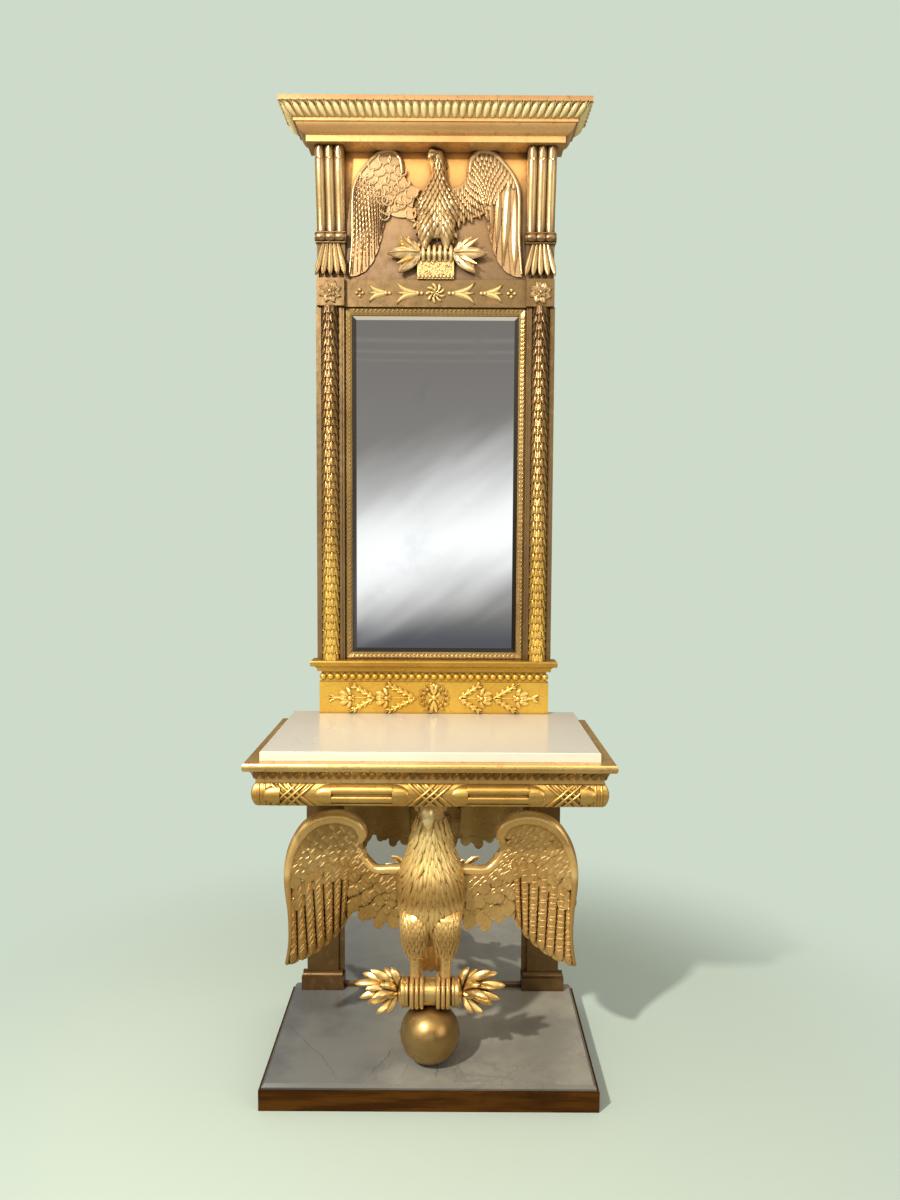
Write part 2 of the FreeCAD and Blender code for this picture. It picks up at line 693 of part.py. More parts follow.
def console_wing():
    low = slab_top + wing_tip_above_slab
    high = apron_bottom - wing_top_below_apron
    middle = (wing_root_x + wing_reach_x) / 2.0
    axis_y = wall_y - wing_from_wall - wing_bow_radius

    def place(u, v):
        return V(wing_root_x + u * (wing_reach_x - wing_root_x), 0, low + v * (high - low))

    def bowl(radius):
        return Part.makeCylinder(radius, high - low + 2 * loose, V(middle, axis_y, low - loose))

    y_back = wall_y - wing_from_wall + wing_roll_radius
    depth = 2 * body_half_depth
    lobes = [(0.44, 0.362), (0.19, 0.350), (-0.10, 0.315)]
    outline = wing_prism(console_edge, console_trail, lobes, place, wing_feathers, feather_bulge,
                         y_back, depth)
    plate = outline.common(bowl(wing_bow_radius).cut(bowl(wing_bow_radius - wing_plate)))
    layers = [plate]
    rows = ([(1.1, 0.40), (0.78, 0.44), (0.50, 0.50), (0.20, 0.47), (-0.12, 0.44)],
            [(1.1, 0.62), (0.78, 0.64), (0.52, 0.66), (0.24, 0.56), (-0.12, 0.53)])
    for k, points in enumerate(rows):
        block = covert_prism(points, place, wing_coverts, feather_bulge, y_back, depth)
        inner = wing_bow_radius - wing_plate - covert_step * (k + 1)
        shell = bowl(wing_bow_radius - wing_plate * 0.5).cut(bowl(inner))
        layers.append(outline.common(block).common(shell))
    lead = spline_edge([place(*p) for p in console_edge])
    stations = []
    count = 30
    span = lead.LastParameter - lead.FirstParameter
    for k in range(count + 1):
        share = k / count
        p = lead.value(lead.FirstParameter + span * share)
        radius = wing_roll_radius * min(0.66 + share * 1.3, 1.0, 1.2 - 0.8 * share)
        across = p.x - middle
        y = axis_y + math.sqrt((wing_bow_radius - wing_plate * 0.6) ** 2 - across ** 2)
        stations.append((V(p.x, y, p.z), radius))
    layers.append(tube_loft(stations))

    def face_y(x):
        return axis_y + math.sqrt((wing_bow_radius - wing_plate) ** 2 - (x - middle) ** 2)
    for groove in feather_grooves(console_trail, place, wing_feathers, ((0.80, 0.42), (0.50, 0.48)),
                                  face_y, wing_groove, 3):
        layers[0] = layers[0].cut(groove)
    return fused(layers)


# ---------------------------------------------------------------- rear legs and lower glass
def make_rear():
    foot_top = slab_top + foot_block_height
    leg = box(leg_half_gap, leg_outer_x, wall_y - leg_thick, wall_y, foot_top, apron_bottom)
    save("rear_leg_right", leg)
    save("rear_leg_left", mirrored(leg))
    over = foot_block_overhang
    step = foot_cove_height
    block = box(leg_half_gap - over, leg_outer_x + over, wall_y - leg_thick - over, wall_y,
                slab_top, foot_top - step)
    edge = over - foot_fillet
    hollow = [(edge, foot_top - step),
              ((2.0 * foot_fillet / 1.5, foot_top - step * 0.64), (foot_fillet / 1.5, foot_top)),
              (-leg_thick / 3.0, foot_top), (-leg_thick / 3.0, foot_top - step)]
    front = run_along_x(hollow, leg_half_gap - edge, leg_outer_x + edge, wall_y - leg_thick)
    seat = foot_fillet / 1.5
    core = box(leg_half_gap - seat, leg_outer_x + seat, wall_y - leg_thick - seat, wall_y,
               foot_top - step, foot_top)
    foot = fused([block, front, core])
    save("rear_feet", foot, mirrored(foot))
    board = box(-leg_half_gap, leg_half_gap, wall_y - lower_board, wall_y, slab_top, apron_bottom)
    save("lower_backboard", board.cut(foot).cut(mirrored(foot)))
    inset = foot_block_overhang + glue_gap
    glass_front = wall_y - lower_board - lower_glass_thick
    glass = box(-leg_half_gap + inset, leg_half_gap - inset, glass_front, wall_y - lower_board,
                slab_top, apron_bottom)
    save("lower_glass", glass)
    bead_side = box(leg_half_gap - inset, leg_half_gap, glass_front - glass_bead, wall_y - lower_board,
                    foot_top, apron_bottom)
    bead_top = box(-leg_half_gap + inset, leg_half_gap - inset, glass_front - glass_bead, glass_front,
                   apron_bottom - glass_bead, apron_bottom)
    bead_low = bead_top.copy()
    bead_low.translate(V(0, 0, slab_top + glass_bead - apron_bottom))
    save("lower_glass_beads", bead_side, mirrored(bead_side), bead_top, bead_low)


# ---------------------------------------------------------------- top frame
# Reeds of the apron: middle and half height in shares of its height.
reed_bands = ((0.755, 0.19), (0.30, 0.125))


def moved(shape, by):
    other = shape.copy()
    other.translate(by)
    return other


def apron_out(z):
    """How far the apron's bulge stands beyond the marble line at a height."""
    half = apron_height / 2.0
    radius = (half ** 2 + apron_bulge ** 2) / (2.0 * apron_bulge)
    return apron_set_out + apron_bulge - radius + math.sqrt(radius ** 2 - (z - apron_bottom - half) ** 2)


def reed_profile(middle, half):
    """Half-round reed on the bulge, its flat back inside the apron."""
    low = apron_bottom + apron_height * (middle - half)
    high = apron_bottom + apron_height * (middle + half)
    centre = (low + high) / 2.0
    return [(apron_out(low) - apron_reed_sunk, low), (apron_out(low), low),
            ((apron_out(centre) + apron_reed_rise, centre), (apron_out(high), high)),
            (apron_out(high) - apron_reed_sunk, high)]


def strap_cross():
    """Three straps each way crossing on the bulge, about x = 0 with the marble line at y = 0."""
    low = apron_bottom + strap_edge
    high = apron_bottom + apron_height - strap_edge
    middle = (low + high) / 2.0
    foot = apron_out(low)
    shell = run_along_x([(foot - apron_reed_sunk, low), (foot + strap_edge, low),
                         ((apron_out(middle) + strap_rise, middle), (foot + strap_edge, high)),
                         (foot - apron_reed_sunk, high)], -strap_spread * 2.0, strap_spread * 2.0, 0.0)
    bars = []
    half = strap_width / 2.0
    depth = apron_set_out + apron_bulge + strap_rise + loose
    for way in (-1, 1):
        lean = way * strap_spread / 2.0
        for k in (-1, 0, 1):
            x = k * strap_pitch
            points = [V(x - lean - half, 0, low), V(x - lean + half, 0, low), V(x + lean + half, 0, high),
                      V(x + lean - half, 0, high)]
            bars.append(Part.Face(Part.makePolygon(points + points[:1])).extrude(V(0, -depth, 0)))
    return fused(bars).common(shell)


def make_top():
    out = apron_set_out
    mid_z = apron_bottom + apron_height / 2.0
    frieze = [(out, apron_bottom), ((out + apron_bulge, mid_z), (out, apron_top)),
              (out - apron_board, apron_top), (out - apron_board, apron_bottom)]
    front, left, right = mitred_set(frieze, top_half_width, front_y)
    cross = strap_cross()
    end = top_half_width - end_strap_from_corner
    carving = [moved(cross, V(x, front_y, 0)) for x in (-end, 0.0, end)]
    for middle, half in reed_bands:
        reed = run_along_x(reed_profile(middle, half), apron_reed_start, apron_reed_start + apron_reed_length,
                           front_y)
        carving += [reed, mirrored(reed)]
    save("apron_front", fused([front] + carving))
    turned = cross.copy()
    turned.rotate(V(0, 0, 0), V(0, 0, 1), 90)
    side_front = front_y + end_strap_from_corner
    side_rear = wall_y - end_strap_from_corner
    carving = [moved(turned, V(top_half_width, y, 0)) for y in (side_front, side_rear)]
    clear = apron_reed_start
    for middle, half in reed_bands:
        carving.append(run_along_y(reed_profile(middle, half), top_half_width, side_front + clear,
                                   side_rear - clear))
    right = fused([right] + carving)
    save("apron_left", mirrored(right))
    save("apron_right", right)
    inner = top_half_width + out - apron_board
    inner_front = front_y - out + apron_board
    well = top_half_width - moulding_width
    back = box(-inner, inner, wall_y - apron_board, wall_y, apron_bottom, apron_top)
    back_top = box(-well, well, wall_y - apron_board, wall_y, apron_top, lip_top)
    save("apron_back", fused([back, back_top]))
    half_rail = cross_rail_width / 2
    rail = box(-half_rail, half_rail, inner_front, wall_y - apron_board, rail_bottom, apron_top)
    rail_head = box(-half_rail, half_rail, front_y + moulding_width, wall_y - apron_board,
                    apron_top, lip_top)
    save("cross_rail", fused([rail, rail_head]))
    b = corner_block
    block = plan_prism([(inner, inner_front), (inner, inner_front + b), (inner - b, inner_front)],
                       rail_bottom, apron_top)
    rear = plan_prism([(inner, wall_y - apron_board), (inner - b, wall_y - apron_board),
                       (inner, wall_y - apron_board - b)], rail_bottom, apron_top)
    save("corner_blocks", block, mirrored(block), rear, mirrored(rear))

    z0 = apron_top
    z1 = z0 + fillet_height
    z2 = z1 + leaf_band_height
    z3 = lip_top
    lip = lip_overhang
    moulding = [(fillet_out, z0), (fillet_out, z1 - fillet_step * 0.75), (fillet_out + fillet_step, z1),
                ((cavetto_out, z1 + (z2 - z1) * cavetto_rise), (lip - lip_shoulder, z2)),
                (lip - lip_round, z2), ((lip, (z2 + z3) / 2.0), (lip - lip_round, z3)),
                (-moulding_width, z3), (-moulding_width, z0)]
    front, left, right = mitred_set(moulding, top_half_width, front_y)
    save("top_moulding_front", front)
    save("top_moulding_returns", left, right)
    marble = box(-top_half_width, top_half_width, front_y, wall_y, lip_top, marble_top)
    edges = [e for e in marble.Edges
             if e.BoundBox.ZMin > marble_top - 0.01 and e.BoundBox.YMin < wall_y - 0.01]
    save("marble_top", marble.makeFillet(marble_edge, edges))


# ---------------------------------------------------------------- mirror base
# Chevron point and palmette heart of the two motifs on each side, in shares of the base's half width.
motif_places = ((0.16, 0.44), (0.52, 0.78))


def leaf_motif(apex, heart, z, y_back, way):
    """Chevron of two leafed legs opening outwards from its point, with a palmette on a stem between."""
    thick = ornament_thick

    def aim(angle):
        return angle if way > 0 else 180 - angle
    leg = (base_height / 2.0 - ornament_margin) / math.sin(math.radians(chevron_rise))
    parts = [boss(way * apex, z, thick, y_back, thick), boss(way * heart, z, thick, y_back, thick)]
    parts.append(petal(way * apex, z, aim(0), heart - apex, chevron_width * 0.6, y_back, thick))
    for angle in (chevron_rise, -chevron_rise):
        parts.append(petal(way * apex, z, aim(angle), leg, chevron_width, y_back, thick))
    for angle in palmette_angles:
        parts.append(petal(way * heart, z, aim(angle), palmette_leaf, palmette_leaf * 0.39, y_back, thick))
    return parts


def make_mirror_base():
    y_board = wall_y - base_depth
    board = box(-base_half_width, base_half_width, y_board, wall_y, marble_top, base_top)
    save("base_board", board)
    z = (marble_top + base_top) / 2.0
    r = wreath_radius
    stem = wreath_stem
    ring = Part.makeCylinder(r + stem, stem, V(0, y_board, z), V(0, -1, 0))
    ring = ring.cut(Part.makeCylinder(r - stem, stem, V(0, y_board, z), V(0, -1, 0)))
    wreath = [ring]
    for k in range(wreath_leaves):
        a = 2 * math.pi * (k + 0.5) / wreath_leaves
        upward = 60.0 if math.cos(a) > 0 else -60.0
        wreath.append(petal(r * math.cos(a), r * math.sin(a) + z, math.degrees(a) + upward,
                            wreath_leaf, wreath_leaf * 0.53, y_board, ornament_thick))
    torch = [boss(0, z, ornament_thick * 1.4, y_board, ornament_thick)]
    for angle in (74, 106, -66, -114):
        torch.append(petal(0, z, angle, torch_leaf, torch_leaf * 0.36, y_board, ornament_thick))
    pieces = [fused(wreath), fused(torch)]
    for way in (-1, 1):
        side = []
        for apex, heart in motif_places:
            side += leaf_motif(base_half_width * apex, base_half_width * heart, z, y_board, way)
        pieces.append(fused(side))
    save("base_ornament", *pieces)

    core_half = base_half_width - bead_setback
    core_front = y_board + bead_line_back
    core = box(-core_half, core_half, core_front, wall_y, base_top, base_lip_bottom)
    beads = [core]
    front_run = 2.0 * (core_half - bead_radius * 0.4)
    count = int(front_run / bead_pitch)
    pitch = front_run / count
    for k in range(count + 1):
        x = -front_run / 2.0 + k * pitch
        beads.append(Part.makeSphere(bead_radius, V(x, core_front, bead_z)))
    save("base_beads", fused(beads))

    z0 = base_lip_bottom
    z1 = stile_bottom
    h = base_lip_height
    over = base_lip_overhang
    soft = base_lip_round
    seat = base_lip_seat - base_depth
    steps = [(over * 0.26, z0), (over * 0.26, z0 + h * 0.16),
             ((over * 0.48, z0 + h * 0.41), (over * 0.87, z0 + h * 0.47)),
             (over, z0 + h * 0.53), (over, z1 - soft),
             ((over - soft * 0.4, z1 - soft * 0.3), (over - soft, z1)), (seat, z1), (seat, z0)]
    front, left, right = mitred_set(steps, base_half_width, y_board)
    save("base_moulding", front, left, right)


# ---------------------------------------------------------------- mirror frame
def make_stiles():
    stile = box(stile_inner_x, stile_outer_x, wall_y - stile_thick, wall_y, stile_bottom, stile_top)
    channel = box(channel_inner_x, channel_outer_x, wall_y - stile_thick, wall_y - channel_floor,
                  stile_bottom, stile_top)
    stile = stile.cut(channel)
    rebate = box(stile_inner_x, stile_inner_x + stile_rebate, wall_y - stile_thick,
                 wall_y - stile_thick + stile_rebate / 2.0, stile_bottom, stile_top)
    save("stile_right", stile.cut(rebate))
    save("stile_left", mirrored(stile.cut(rebate)))

    rows = int(round(stile_height / leaf_row_pitch))
    pitch = stile_height / rows
    r = column_radius
    steps = [(0, stile_bottom)]
    for k in range(rows):
        z = stile_bottom + k * pitch
        steps.append((r, z + 1.0) if k else (r, z))
        steps.append((r - leaf_row_step, z + pitch))
    steps.append((0, stile_top))
    face = face_of(steps, lambda radius, z: V(column_x + radius, column_y, z))
    column = face.revolve(V(column_x, column_y, 0), V(0, 0, 1), 360)
    keep = box(column_x - 2 * r, column_x + 2 * r, column_y - 2 * r, wall_y - channel_floor,
               stile_bottom, stile_top)
    column = column.common(keep)
    save("column_right", column)
    save("column_left", mirrored(column))


def make_glass():
    half_x = slip_inner_x + glass_rebate
    low = stile_bottom + slip_width - glass_rebate
    high = stile_top - slip_width + glass_rebate
    front = wall_y - backboard_thick - mirror_glass_thick
    plate = box(-half_x, half_x, front, wall_y - backboard_thick, low, high)
    bevel = mirror_glass_bevel + glass_rebate
    save("mirror_glass", bevelled_plate(plate, half_x, low, high, front, bevel))
    board = box(-stile_inner_x, stile_inner_x, wall_y - backboard_thick, wall_y, stile_bottom, stile_top)
    save("mirror_backboard", board)
    slip_front = front - slip_thick
    steps = [(0, 0), (slip_width, 0), (slip_width, slip_thick - 2.0), (slip_width - 6.0, slip_thick),
             (5.0, slip_thick * 0.72), (0, 2.0)]
    slips = slip_frame(steps, front)
    save("glass_slips", *slips)
    return slip_front


def bevelled_plate(plate, half_x, low, high, front, bevel):
    """Glass with a flat bevel round its front edge."""
    drop = mirror_bevel_drop

    def ring(inset, y):
        x = half_x - inset
        corners = ((-x, low + inset), (x, low + inset), (x, high - inset), (-x, high - inset),
                   (-x, low + inset))
        return Part.makePolygon([V(a, y, z) for a, z in corners])
    raised = Part.makeLoft([ring(0, front + drop), ring(bevel, front)], True, True)
    back = plate.common(box(-half_x, half_x, front + drop, wall_y, low, high))
    return back.fuse(raised).removeSplitter()


def slip_frame(steps, glass_front):
    """Four slips round the glass, mitred at the corners; profile is (across, forward)."""
    half = stile_inner_x
    low = stile_bottom
    high = stile_top
    middle = (low + high) / 2.0
    right_face = face_of(steps, lambda across, fwd: V(slip_inner_x + across, glass_front - fwd, low))
    right = right_face.extrude(V(0, 0, high - low))
    top_face = face_of(steps, lambda across, fwd: V(-half, glass_front - fwd,
                                                    high - slip_width + across))
    top = top_face.extrude(V(2 * half, 0, 0))
    inner = half - slip_width
    y0 = glass_front - slip_thick - 5.0
    y1 = glass_front + 5.0

    def front_prism(points):
        wire = Part.makePolygon([V(x, y0, z) for x, z in points + points[:1]])
        return Part.Face(wire).extrude(V(0, y1 - y0, 0))
    side_plan = [(half, low), (half, high), (inner, high - slip_width), (inner, low + slip_width)]
    top_plan = [(-half, high), (half, high), (inner, high - slip_width), (-inner, high - slip_width)]
    right = right.common(front_prism(side_plan))
    top = top.common(front_prism(top_plan))
    bottom = top.mirror(V(0, 0, middle), V(0, 0, 1))
    return [right, mirrored(right), top, bottom]


# ---------------------------------------------------------------- frieze with rosette blocks
def bellflower(x, z, y_back, way):
    parts = []
    for angle in (-26, 0, 26):
        turn = angle if way > 0 else 180 - angle
        length = bellflower_leaf if angle else bellflower_leaf * 0.81
        parts.append(petal(x, z, turn, length, bellflower_leaf * 0.24, y_back, frieze_leaf_thick))
    parts.append(boss(x - way * 3.0, z, frieze_bead, y_back, frieze_leaf_thick))
    return parts


def make_frieze():
    y_board = wall_y - frieze_thick
    board = box(-rosette_block_inner_x, rosette_block_inner_x, y_board, wall_y, stile_top, frieze_top)
    save("frieze_board", board)
    z = (stile_top + frieze_top) / 2.0
    span = rosette_block_inner_x
    leaf = frieze_rosette_radius
    pieces = [fused([boss(0, z, leaf / 3.0, y_board, frieze_leaf_thick * 1.4)] +
                    [petal(0, z, 45 * k + 22.5, leaf, leaf / 2.0, y_board, frieze_leaf_thick)
                     for k in range(8)])]
    for way in (-1, 1):
        for share in (0.30, 0.54):
            pieces.append(fused(bellflower(way * span * share, z, y_board, way)))
        for share in (0.20, 0.49):
            pieces.append(boss(way * span * share, z, frieze_bead, y_board, frieze_bead))
        r = frieze_bead * 0.9
        for dx, dz in ((-1, 0), (1, 0), (0, 1), (0, -1)):
            pieces.append(boss(way * span * 0.86 + dx * 2 * frieze_bead, z + dz * 2 * frieze_bead,
                               r, y_board, r))
    save("frieze_ornament", *pieces)

    block = box(rosette_block_inner_x, rosette_block_outer_x, wall_y - rosette_block_thick, wall_y,
                stile_top, frieze_top)
    save("rosette_block_right", block)
    save("rosette_block_left", mirrored(block))
    x = (rosette_block_inner_x + rosette_block_outer_x) / 2.0
    y = wall_y - rosette_block_thick
    rosette = [boss(x, z, rosette_radius * 0.30, y, rosette_thick * 1.1)]
    rosette += [petal(x, z, 60 * k + 30, rosette_radius, rosette_radius * 0.78, y, rosette_thick * 0.7)
                for k in range(6)]
    rosette = fused(rosette)
    save("rosettes", rosette, mirrored(rosette))


# ---------------------------------------------------------------- tablet with the relief eagle
def make_tablet():
    y_face = panel_face_y
    panel = box(-bracket_inner_x, bracket_inner_x, y_face, wall_y, frieze_top, cornice_bottom)
    head_half = bracket_outer_x - cornice_width
    head = box(-head_half, head_half, y_face, wall_y, cornice_bottom, overall_top)
    save("tablet_panel", fused([panel, head]))

    low = frieze_top + relief_wing_rise
    high = low + relief_wing_height

    def place(u, v):
        return V(relief_wing_root_x + u * (relief_wing_reach_x - relief_wing_root_x), 0,
                 low + v * (high - low))
    crown = cornice_bottom - relief_head_drop
    bolt_z = frieze_top + relief_bolt_above_foot
    tall = crown - bolt_z
    w = relief_body_half_width
    d = relief_half_depth

    def z_at(share):
        return bolt_z + tall * share
    lean = relief_lean
    body = ring_loft([
        (lean * 0.7, y_face, z_at(0.16), w * 0.42, d * 0.50),
        (lean * 0.8, y_face, z_at(0.25), w * 0.80, d * 0.84),
        (lean, y_face, z_at(0.38), w, d),
        (lean, y_face, z_at(0.54), w * 0.98, d * 0.96),
        (lean * 0.8, y_face, z_at(0.68), w * 0.58, d * 0.86),
        (lean * 1.3, y_face, z_at(0.80), w * 0.37, d * 0.84),
        (lean, y_face, z_at(0.90), w * 0.38, d * 0.96),
        (lean * 0.3, y_face, z_at(1.0), w * 0.34, d * 0.90)])
    reach = relief_beak
    beak = tube_loft([(V(-reach * 0.24, y_face - d * 0.70, z_at(0.955)), reach * 0.70),
                      (V(-reach * 0.70, y_face - d * 1.05, z_at(0.95)), reach * 0.56),
                      (V(-reach, y_face - d * 1.2, z_at(0.915)), reach * 0.32),
                      (V(-reach, y_face - d * 1.2, z_at(0.885)), reach * 0.09)])
    front_half = box(-bracket_inner_x, bracket_inner_x, -wall_y, y_face, frieze_top, cornice_bottom)
    thigh = ring_loft([
        (w * 0.52, y_face - d * 0.30, z_at(0.04), w * 0.16, d * 0.40),
        (w * 0.52, y_face - d * 0.34, z_at(0.12), w * 0.22, d * 0.52),
        (w * 0.50, y_face - d * 0.40, z_at(0.22), w * 0.40, d * 0.72),
        (w * 0.45, y_face - d * 0.40, z_at(0.34), w * 0.42, d * 0.72),
        (w * 0.36, y_face - d * 0.30, z_at(0.44), w * 0.30, d * 0.56)])
    body = fused([body, beak, thigh, mirrored(thigh)]).common(front_half)
    save("relief_eagle", max(body.Solids, key=lambda s: s.Volume))

    lobes = [(0.48, 0.52), (0.22, 0.475), (-0.10, 0.43)]
    rows = ([(1.1, 0.46), (0.76, 0.54), (0.46, 0.60), (0.20, 0.57), (-0.12, 0.54)],
            [(1.1, 0.70), (0.76, 0.72), (0.48, 0.72), (0.24, 0.66), (-0.12, 0.62)])

    def layer(thick):
        return wing_prism(relief_edge, relief_trail, lobes, place, wing_feathers, relief_step,
                          y_face, thick)
    plate = layer(relief_plate)
    for groove in feather_grooves(relief_trail, place, wing_feathers, ((0.80, 0.52), (0.46, 0.58)),
                                  lambda x: y_face - relief_plate, relief_groove, 1):
        plate = plate.cut(groove)
    layers = [plate]
    thick = relief_plate
    for points in rows:
        thick += relief_step
        block = covert_prism(points, place, relief_coverts, relief_step, y_face, thick)
        layers.append(layer(thick).common(block))
    lead = spline_edge([place(*p) for p in relief_edge])
    count = 26
    span = lead.LastParameter - lead.FirstParameter
    stations = []
    for k in range(count + 1):
        share = k / count
        p = lead.value(lead.FirstParameter + span * share)
        radius = relief_roll_radius * (1.0 - 0.55 * max(0.0, share - 0.4) / 0.6)
        stations.append((V(p.x, y_face - relief_plate * 0.75, p.z), radius))
    layers.append(tube_loft(stations))
    wing = fused(layers).common(front_half).cut(body)
    wing = max(wing.Solids, key=lambda s: s.Volume)
    save("relief_wings", wing, mirrored_relief(wing, body))

    bolt_x = relief_bolt_shift
    bolt_y = y_face - relief_bolt_radius * 0.6
    bolt = Part.makeCylinder(relief_bolt_radius, 2 * relief_bolt_half_length,
                             V(bolt_x - relief_bolt_half_length, bolt_y, bolt_z), V(1, 0, 0))
    parts = [bolt]
    for way in (-1, 1):
        root = V(bolt_x + way * relief_bolt_half_length, bolt_y, bolt_z)
        for rise, swing, share in ((58, 10, 0.62), (28, 25, 0.86), (0, 12, 1.0), (-26, 28, 0.84),
                                   (-56, 10, 0.6)):
            a = math.radians(rise)
            b = math.radians(swing)
            aim = V(way * math.cos(a) * math.cos(b), -math.sin(b) * math.cos(a), math.sin(a))
            parts.append(spindle(root, aim, relief_flame * share, relief_flame / 9.8))
    claws = 6
    claw_pitch = 2 * relief_bolt_half_length * 0.90 / claws
    for k in range(claws):
        x = bolt_x + (k - (claws - 1) / 2.0) * claw_pitch - claw_pitch * 0.3
        parts.append(Part.makeCylinder(relief_bolt_radius + relief_claw_proud, claw_pitch * 0.6,
                                       V(x, bolt_y, bolt_z), V(1, 0, 0)))
    bolt = fused(parts).common(front_half).cut(body).cut(wing).cut(mirrored(wing))
    tablet_top = bolt_z - relief_bolt_radius * 0.85        # runs up into the bolt
    tablet = box(-relief_bolt_half_length, relief_bolt_half_length, y_face - relief_tablet_thick,
                 y_face, frieze_top, tablet_top)
    bolt = fused([max(bolt.Solids, key=lambda s: s.Volume), tablet.cut(body)])
    save("relief_thunderbolt", bolt)


def mirrored_relief(wing, body):
    other = mirrored(wing).cut(body)
    return max(other.Solids, key=lambda s: s.Volume)


# ---------------------------------------------------------------- brackets and cornice
def bracket_front(share):
    """Depth of the bracket's face from the wall, share running from the collar to the soffit."""
    ease = share * share * (3.0 - 2.0 * share)
    return bracket_waist_depth + (bracket_top_depth - bracket_waist_depth) * ease


def make_brackets():
    x0 = bracket_inner_x
    x1 = bracket_outer_x
    z0 = frieze_top
    z1 = z0 + bracket_leaf_height
    z2 = z1 + bracket_collar_height
    z3 = cornice_bottom
    levels = 6
    front = [V(x0, wall_y - bracket_front(k / levels) + reed_proud, z2 + (z3 - z2) * k / levels)
             for k in range(levels + 1)]
    curve = spline_edge(front)
    wire = Part.Wire([curve.toShape(),
                      Part.LineSegment(front[-1], V(x0, wall_y, z3)).toShape(),
                      Part.LineSegment(V(x0, wall_y, z3), V(x0, wall_y, z2)).toShape(),
                      Part.LineSegment(V(x0, wall_y, z2), front[0]).toShape()])
    core = Part.Face(wire).extrude(V(x1 - x0, 0, 0))
    width = (x1 - x0) / reed_count
    parts = [core]
    for r in range(reed_count):
        a = x0 + r * width + reed_groove / 2.0
        b = a + width - reed_groove
        mid = (a + b) / 2.0
        sections = []
        for k in range(levels + 1):
            share = k / levels
            z = z2 + (z3 - z2) * share
            y = wall_y - bracket_front(share)
            shoulder = y + reed_proud * 0.9
            deep = y + reed_proud * 1.45
            arc = Part.Arc(V(a, shoulder, z), V(mid, y, z), V(b, shoulder, z))
            sides = Part.makePolygon([V(b, shoulder, z), V(b, deep, z), V(a, deep, z),
                                      V(a, shoulder, z)])
            sections.append(Part.Wire([arc.toShape()] + sides.Edges))
        parts.append(Part.makeLoft(sections, True, False))
    collar_out = bracket_waist_depth + bracket_collar_out
    mid_z = (z1 + z2) / 2.0
    flat = collar_out - bracket_collar_round
    collar = [(flat, z1), ((collar_out, mid_z), (flat, z2)), (0, z2), (0, z1)]
    parts.append(run_along_x(collar, x0 - bracket_collar_side, x1 + bracket_collar_side, wall_y))
    hollow = bracket_foot_hollow
    foot = [(bracket_foot_depth - hollow, z0),
            ((bracket_foot_depth - hollow * 0.75, (z0 + z1) / 2.0),
             (bracket_waist_depth - hollow * 0.25, z1)), (0, z1), (0, z0)]
    parts.append(run_along_x(foot, x0, x1, wall_y))
    bracket = fused(parts)
    save("bracket_right", bracket)
    save("bracket_left", mirrored(bracket))

    lobes = []
    for angle, share in ((-115, 0.72), (-102, 0.92), (-90, 1.0), (-78, 0.92), (-65, 0.72)):
        a = math.radians(angle)
        aim = V(math.cos(a), -0.10, math.sin(a))
        start = V(bracket_middle_x + math.cos(a) * bracket_leaf_fan, wall_y - bracket_waist_depth,
                  z1 - hollow * 0.25)
        lobes.append(spindle(start, aim, bracket_leaf_height * 0.92 * share, bracket_leaf_radius, 0.6))
    leaf = fused(lobes).cut(bracket)
    side = bracket_collar_side
    leaf = leaf.common(box(x0 - side, x1 + side, -wall_y, wall_y, z0, z1))
    leaf = max(leaf.Solids, key=lambda s: s.Volume)
    save("bracket_leaves", leaf, mirrored(leaf))


def cornice_at(out_share, rise_share):
    """Point of the cornice's profile, in shares of its reach beyond the bed and of its height."""
    return (cornice_bed_out + (cornice_crown_out - cornice_bed_out) * out_share,
            cornice_bottom + cornice_height * rise_share)


def cornice_profile():
    at = cornice_at
    return [at(0, 0), at(0, 0.17), at(0.05, 0.19), (at(0.24, 0.27), at(0.38, 0.44)),
            at(0.46, 0.45), at(0.46, 0.53), (at(0.60, 0.60), at(0.81, 0.80)),
            at(0.92, 0.84), at(1, 0.86), at(1, 1),
            (-cornice_width, overall_top), (-cornice_width, cornice_bottom)]


def cornice_tongue(x_low, x_high, line_y):
    """Carved tongue on the crown of the cornice, widest near its top."""
    low_out, low_z = cornice_at(*tongue_low)
    high_out, high_z = cornice_at(*tongue_high)
    foot = V(x_low, line_y - low_out, low_z)
    head = V(x_high, line_y - high_out, high_z)
    return spindle(foot, head - foot, (head - foot).Length, tongue_radius, 0.62)


def make_cornice():
    line_y = wall_y - bracket_top_depth
    front, left, right = mitred_set(cornice_profile(), bracket_outer_x, line_y)
    high_out = cornice_at(*tongue_high)[0]
    low_out = cornice_at(*tongue_low)[0]
    high_half = bracket_outer_x + high_out
    low_half = bracket_outer_x + low_out
    count = int(round(2.0 * high_half / tongue_pitch))
    tongues = []
    for k in range(count):
        share = (2.0 * k + 1.0) / count - 1.0
        tongues.append(cornice_tongue(share * low_half, share * high_half, line_y))
    save("cornice_front", fused([front] + tongues))
    high_run = wall_y - line_y + high_out
    low_run = wall_y - line_y + low_out
    count = int(round(high_run / tongue_pitch))
    tongues = []
    for k in range(count):
        share = (k + 0.5) / count
        tongue = cornice_tongue(-share * low_run, -share * high_run, 0.0)
        tongue.rotate(V(0, 0, 0), V(0, 0, 1), 90)
        tongue.translate(V(bracket_outer_x, wall_y, 0))
        tongues.append(tongue)
    right = fused([right] + tongues)
    save("cornice_returns", mirrored(right), right)


make_plinth()
ball = ball_shape()
rod_top = make_ball(ball)
make_thunderbolt(ball, rod_top)
make_eagle(ball)
make_rear()
make_top()
make_mirror_base()
make_stiles()
make_glass()
make_frieze()
make_tablet()
make_brackets()
make_cornice()
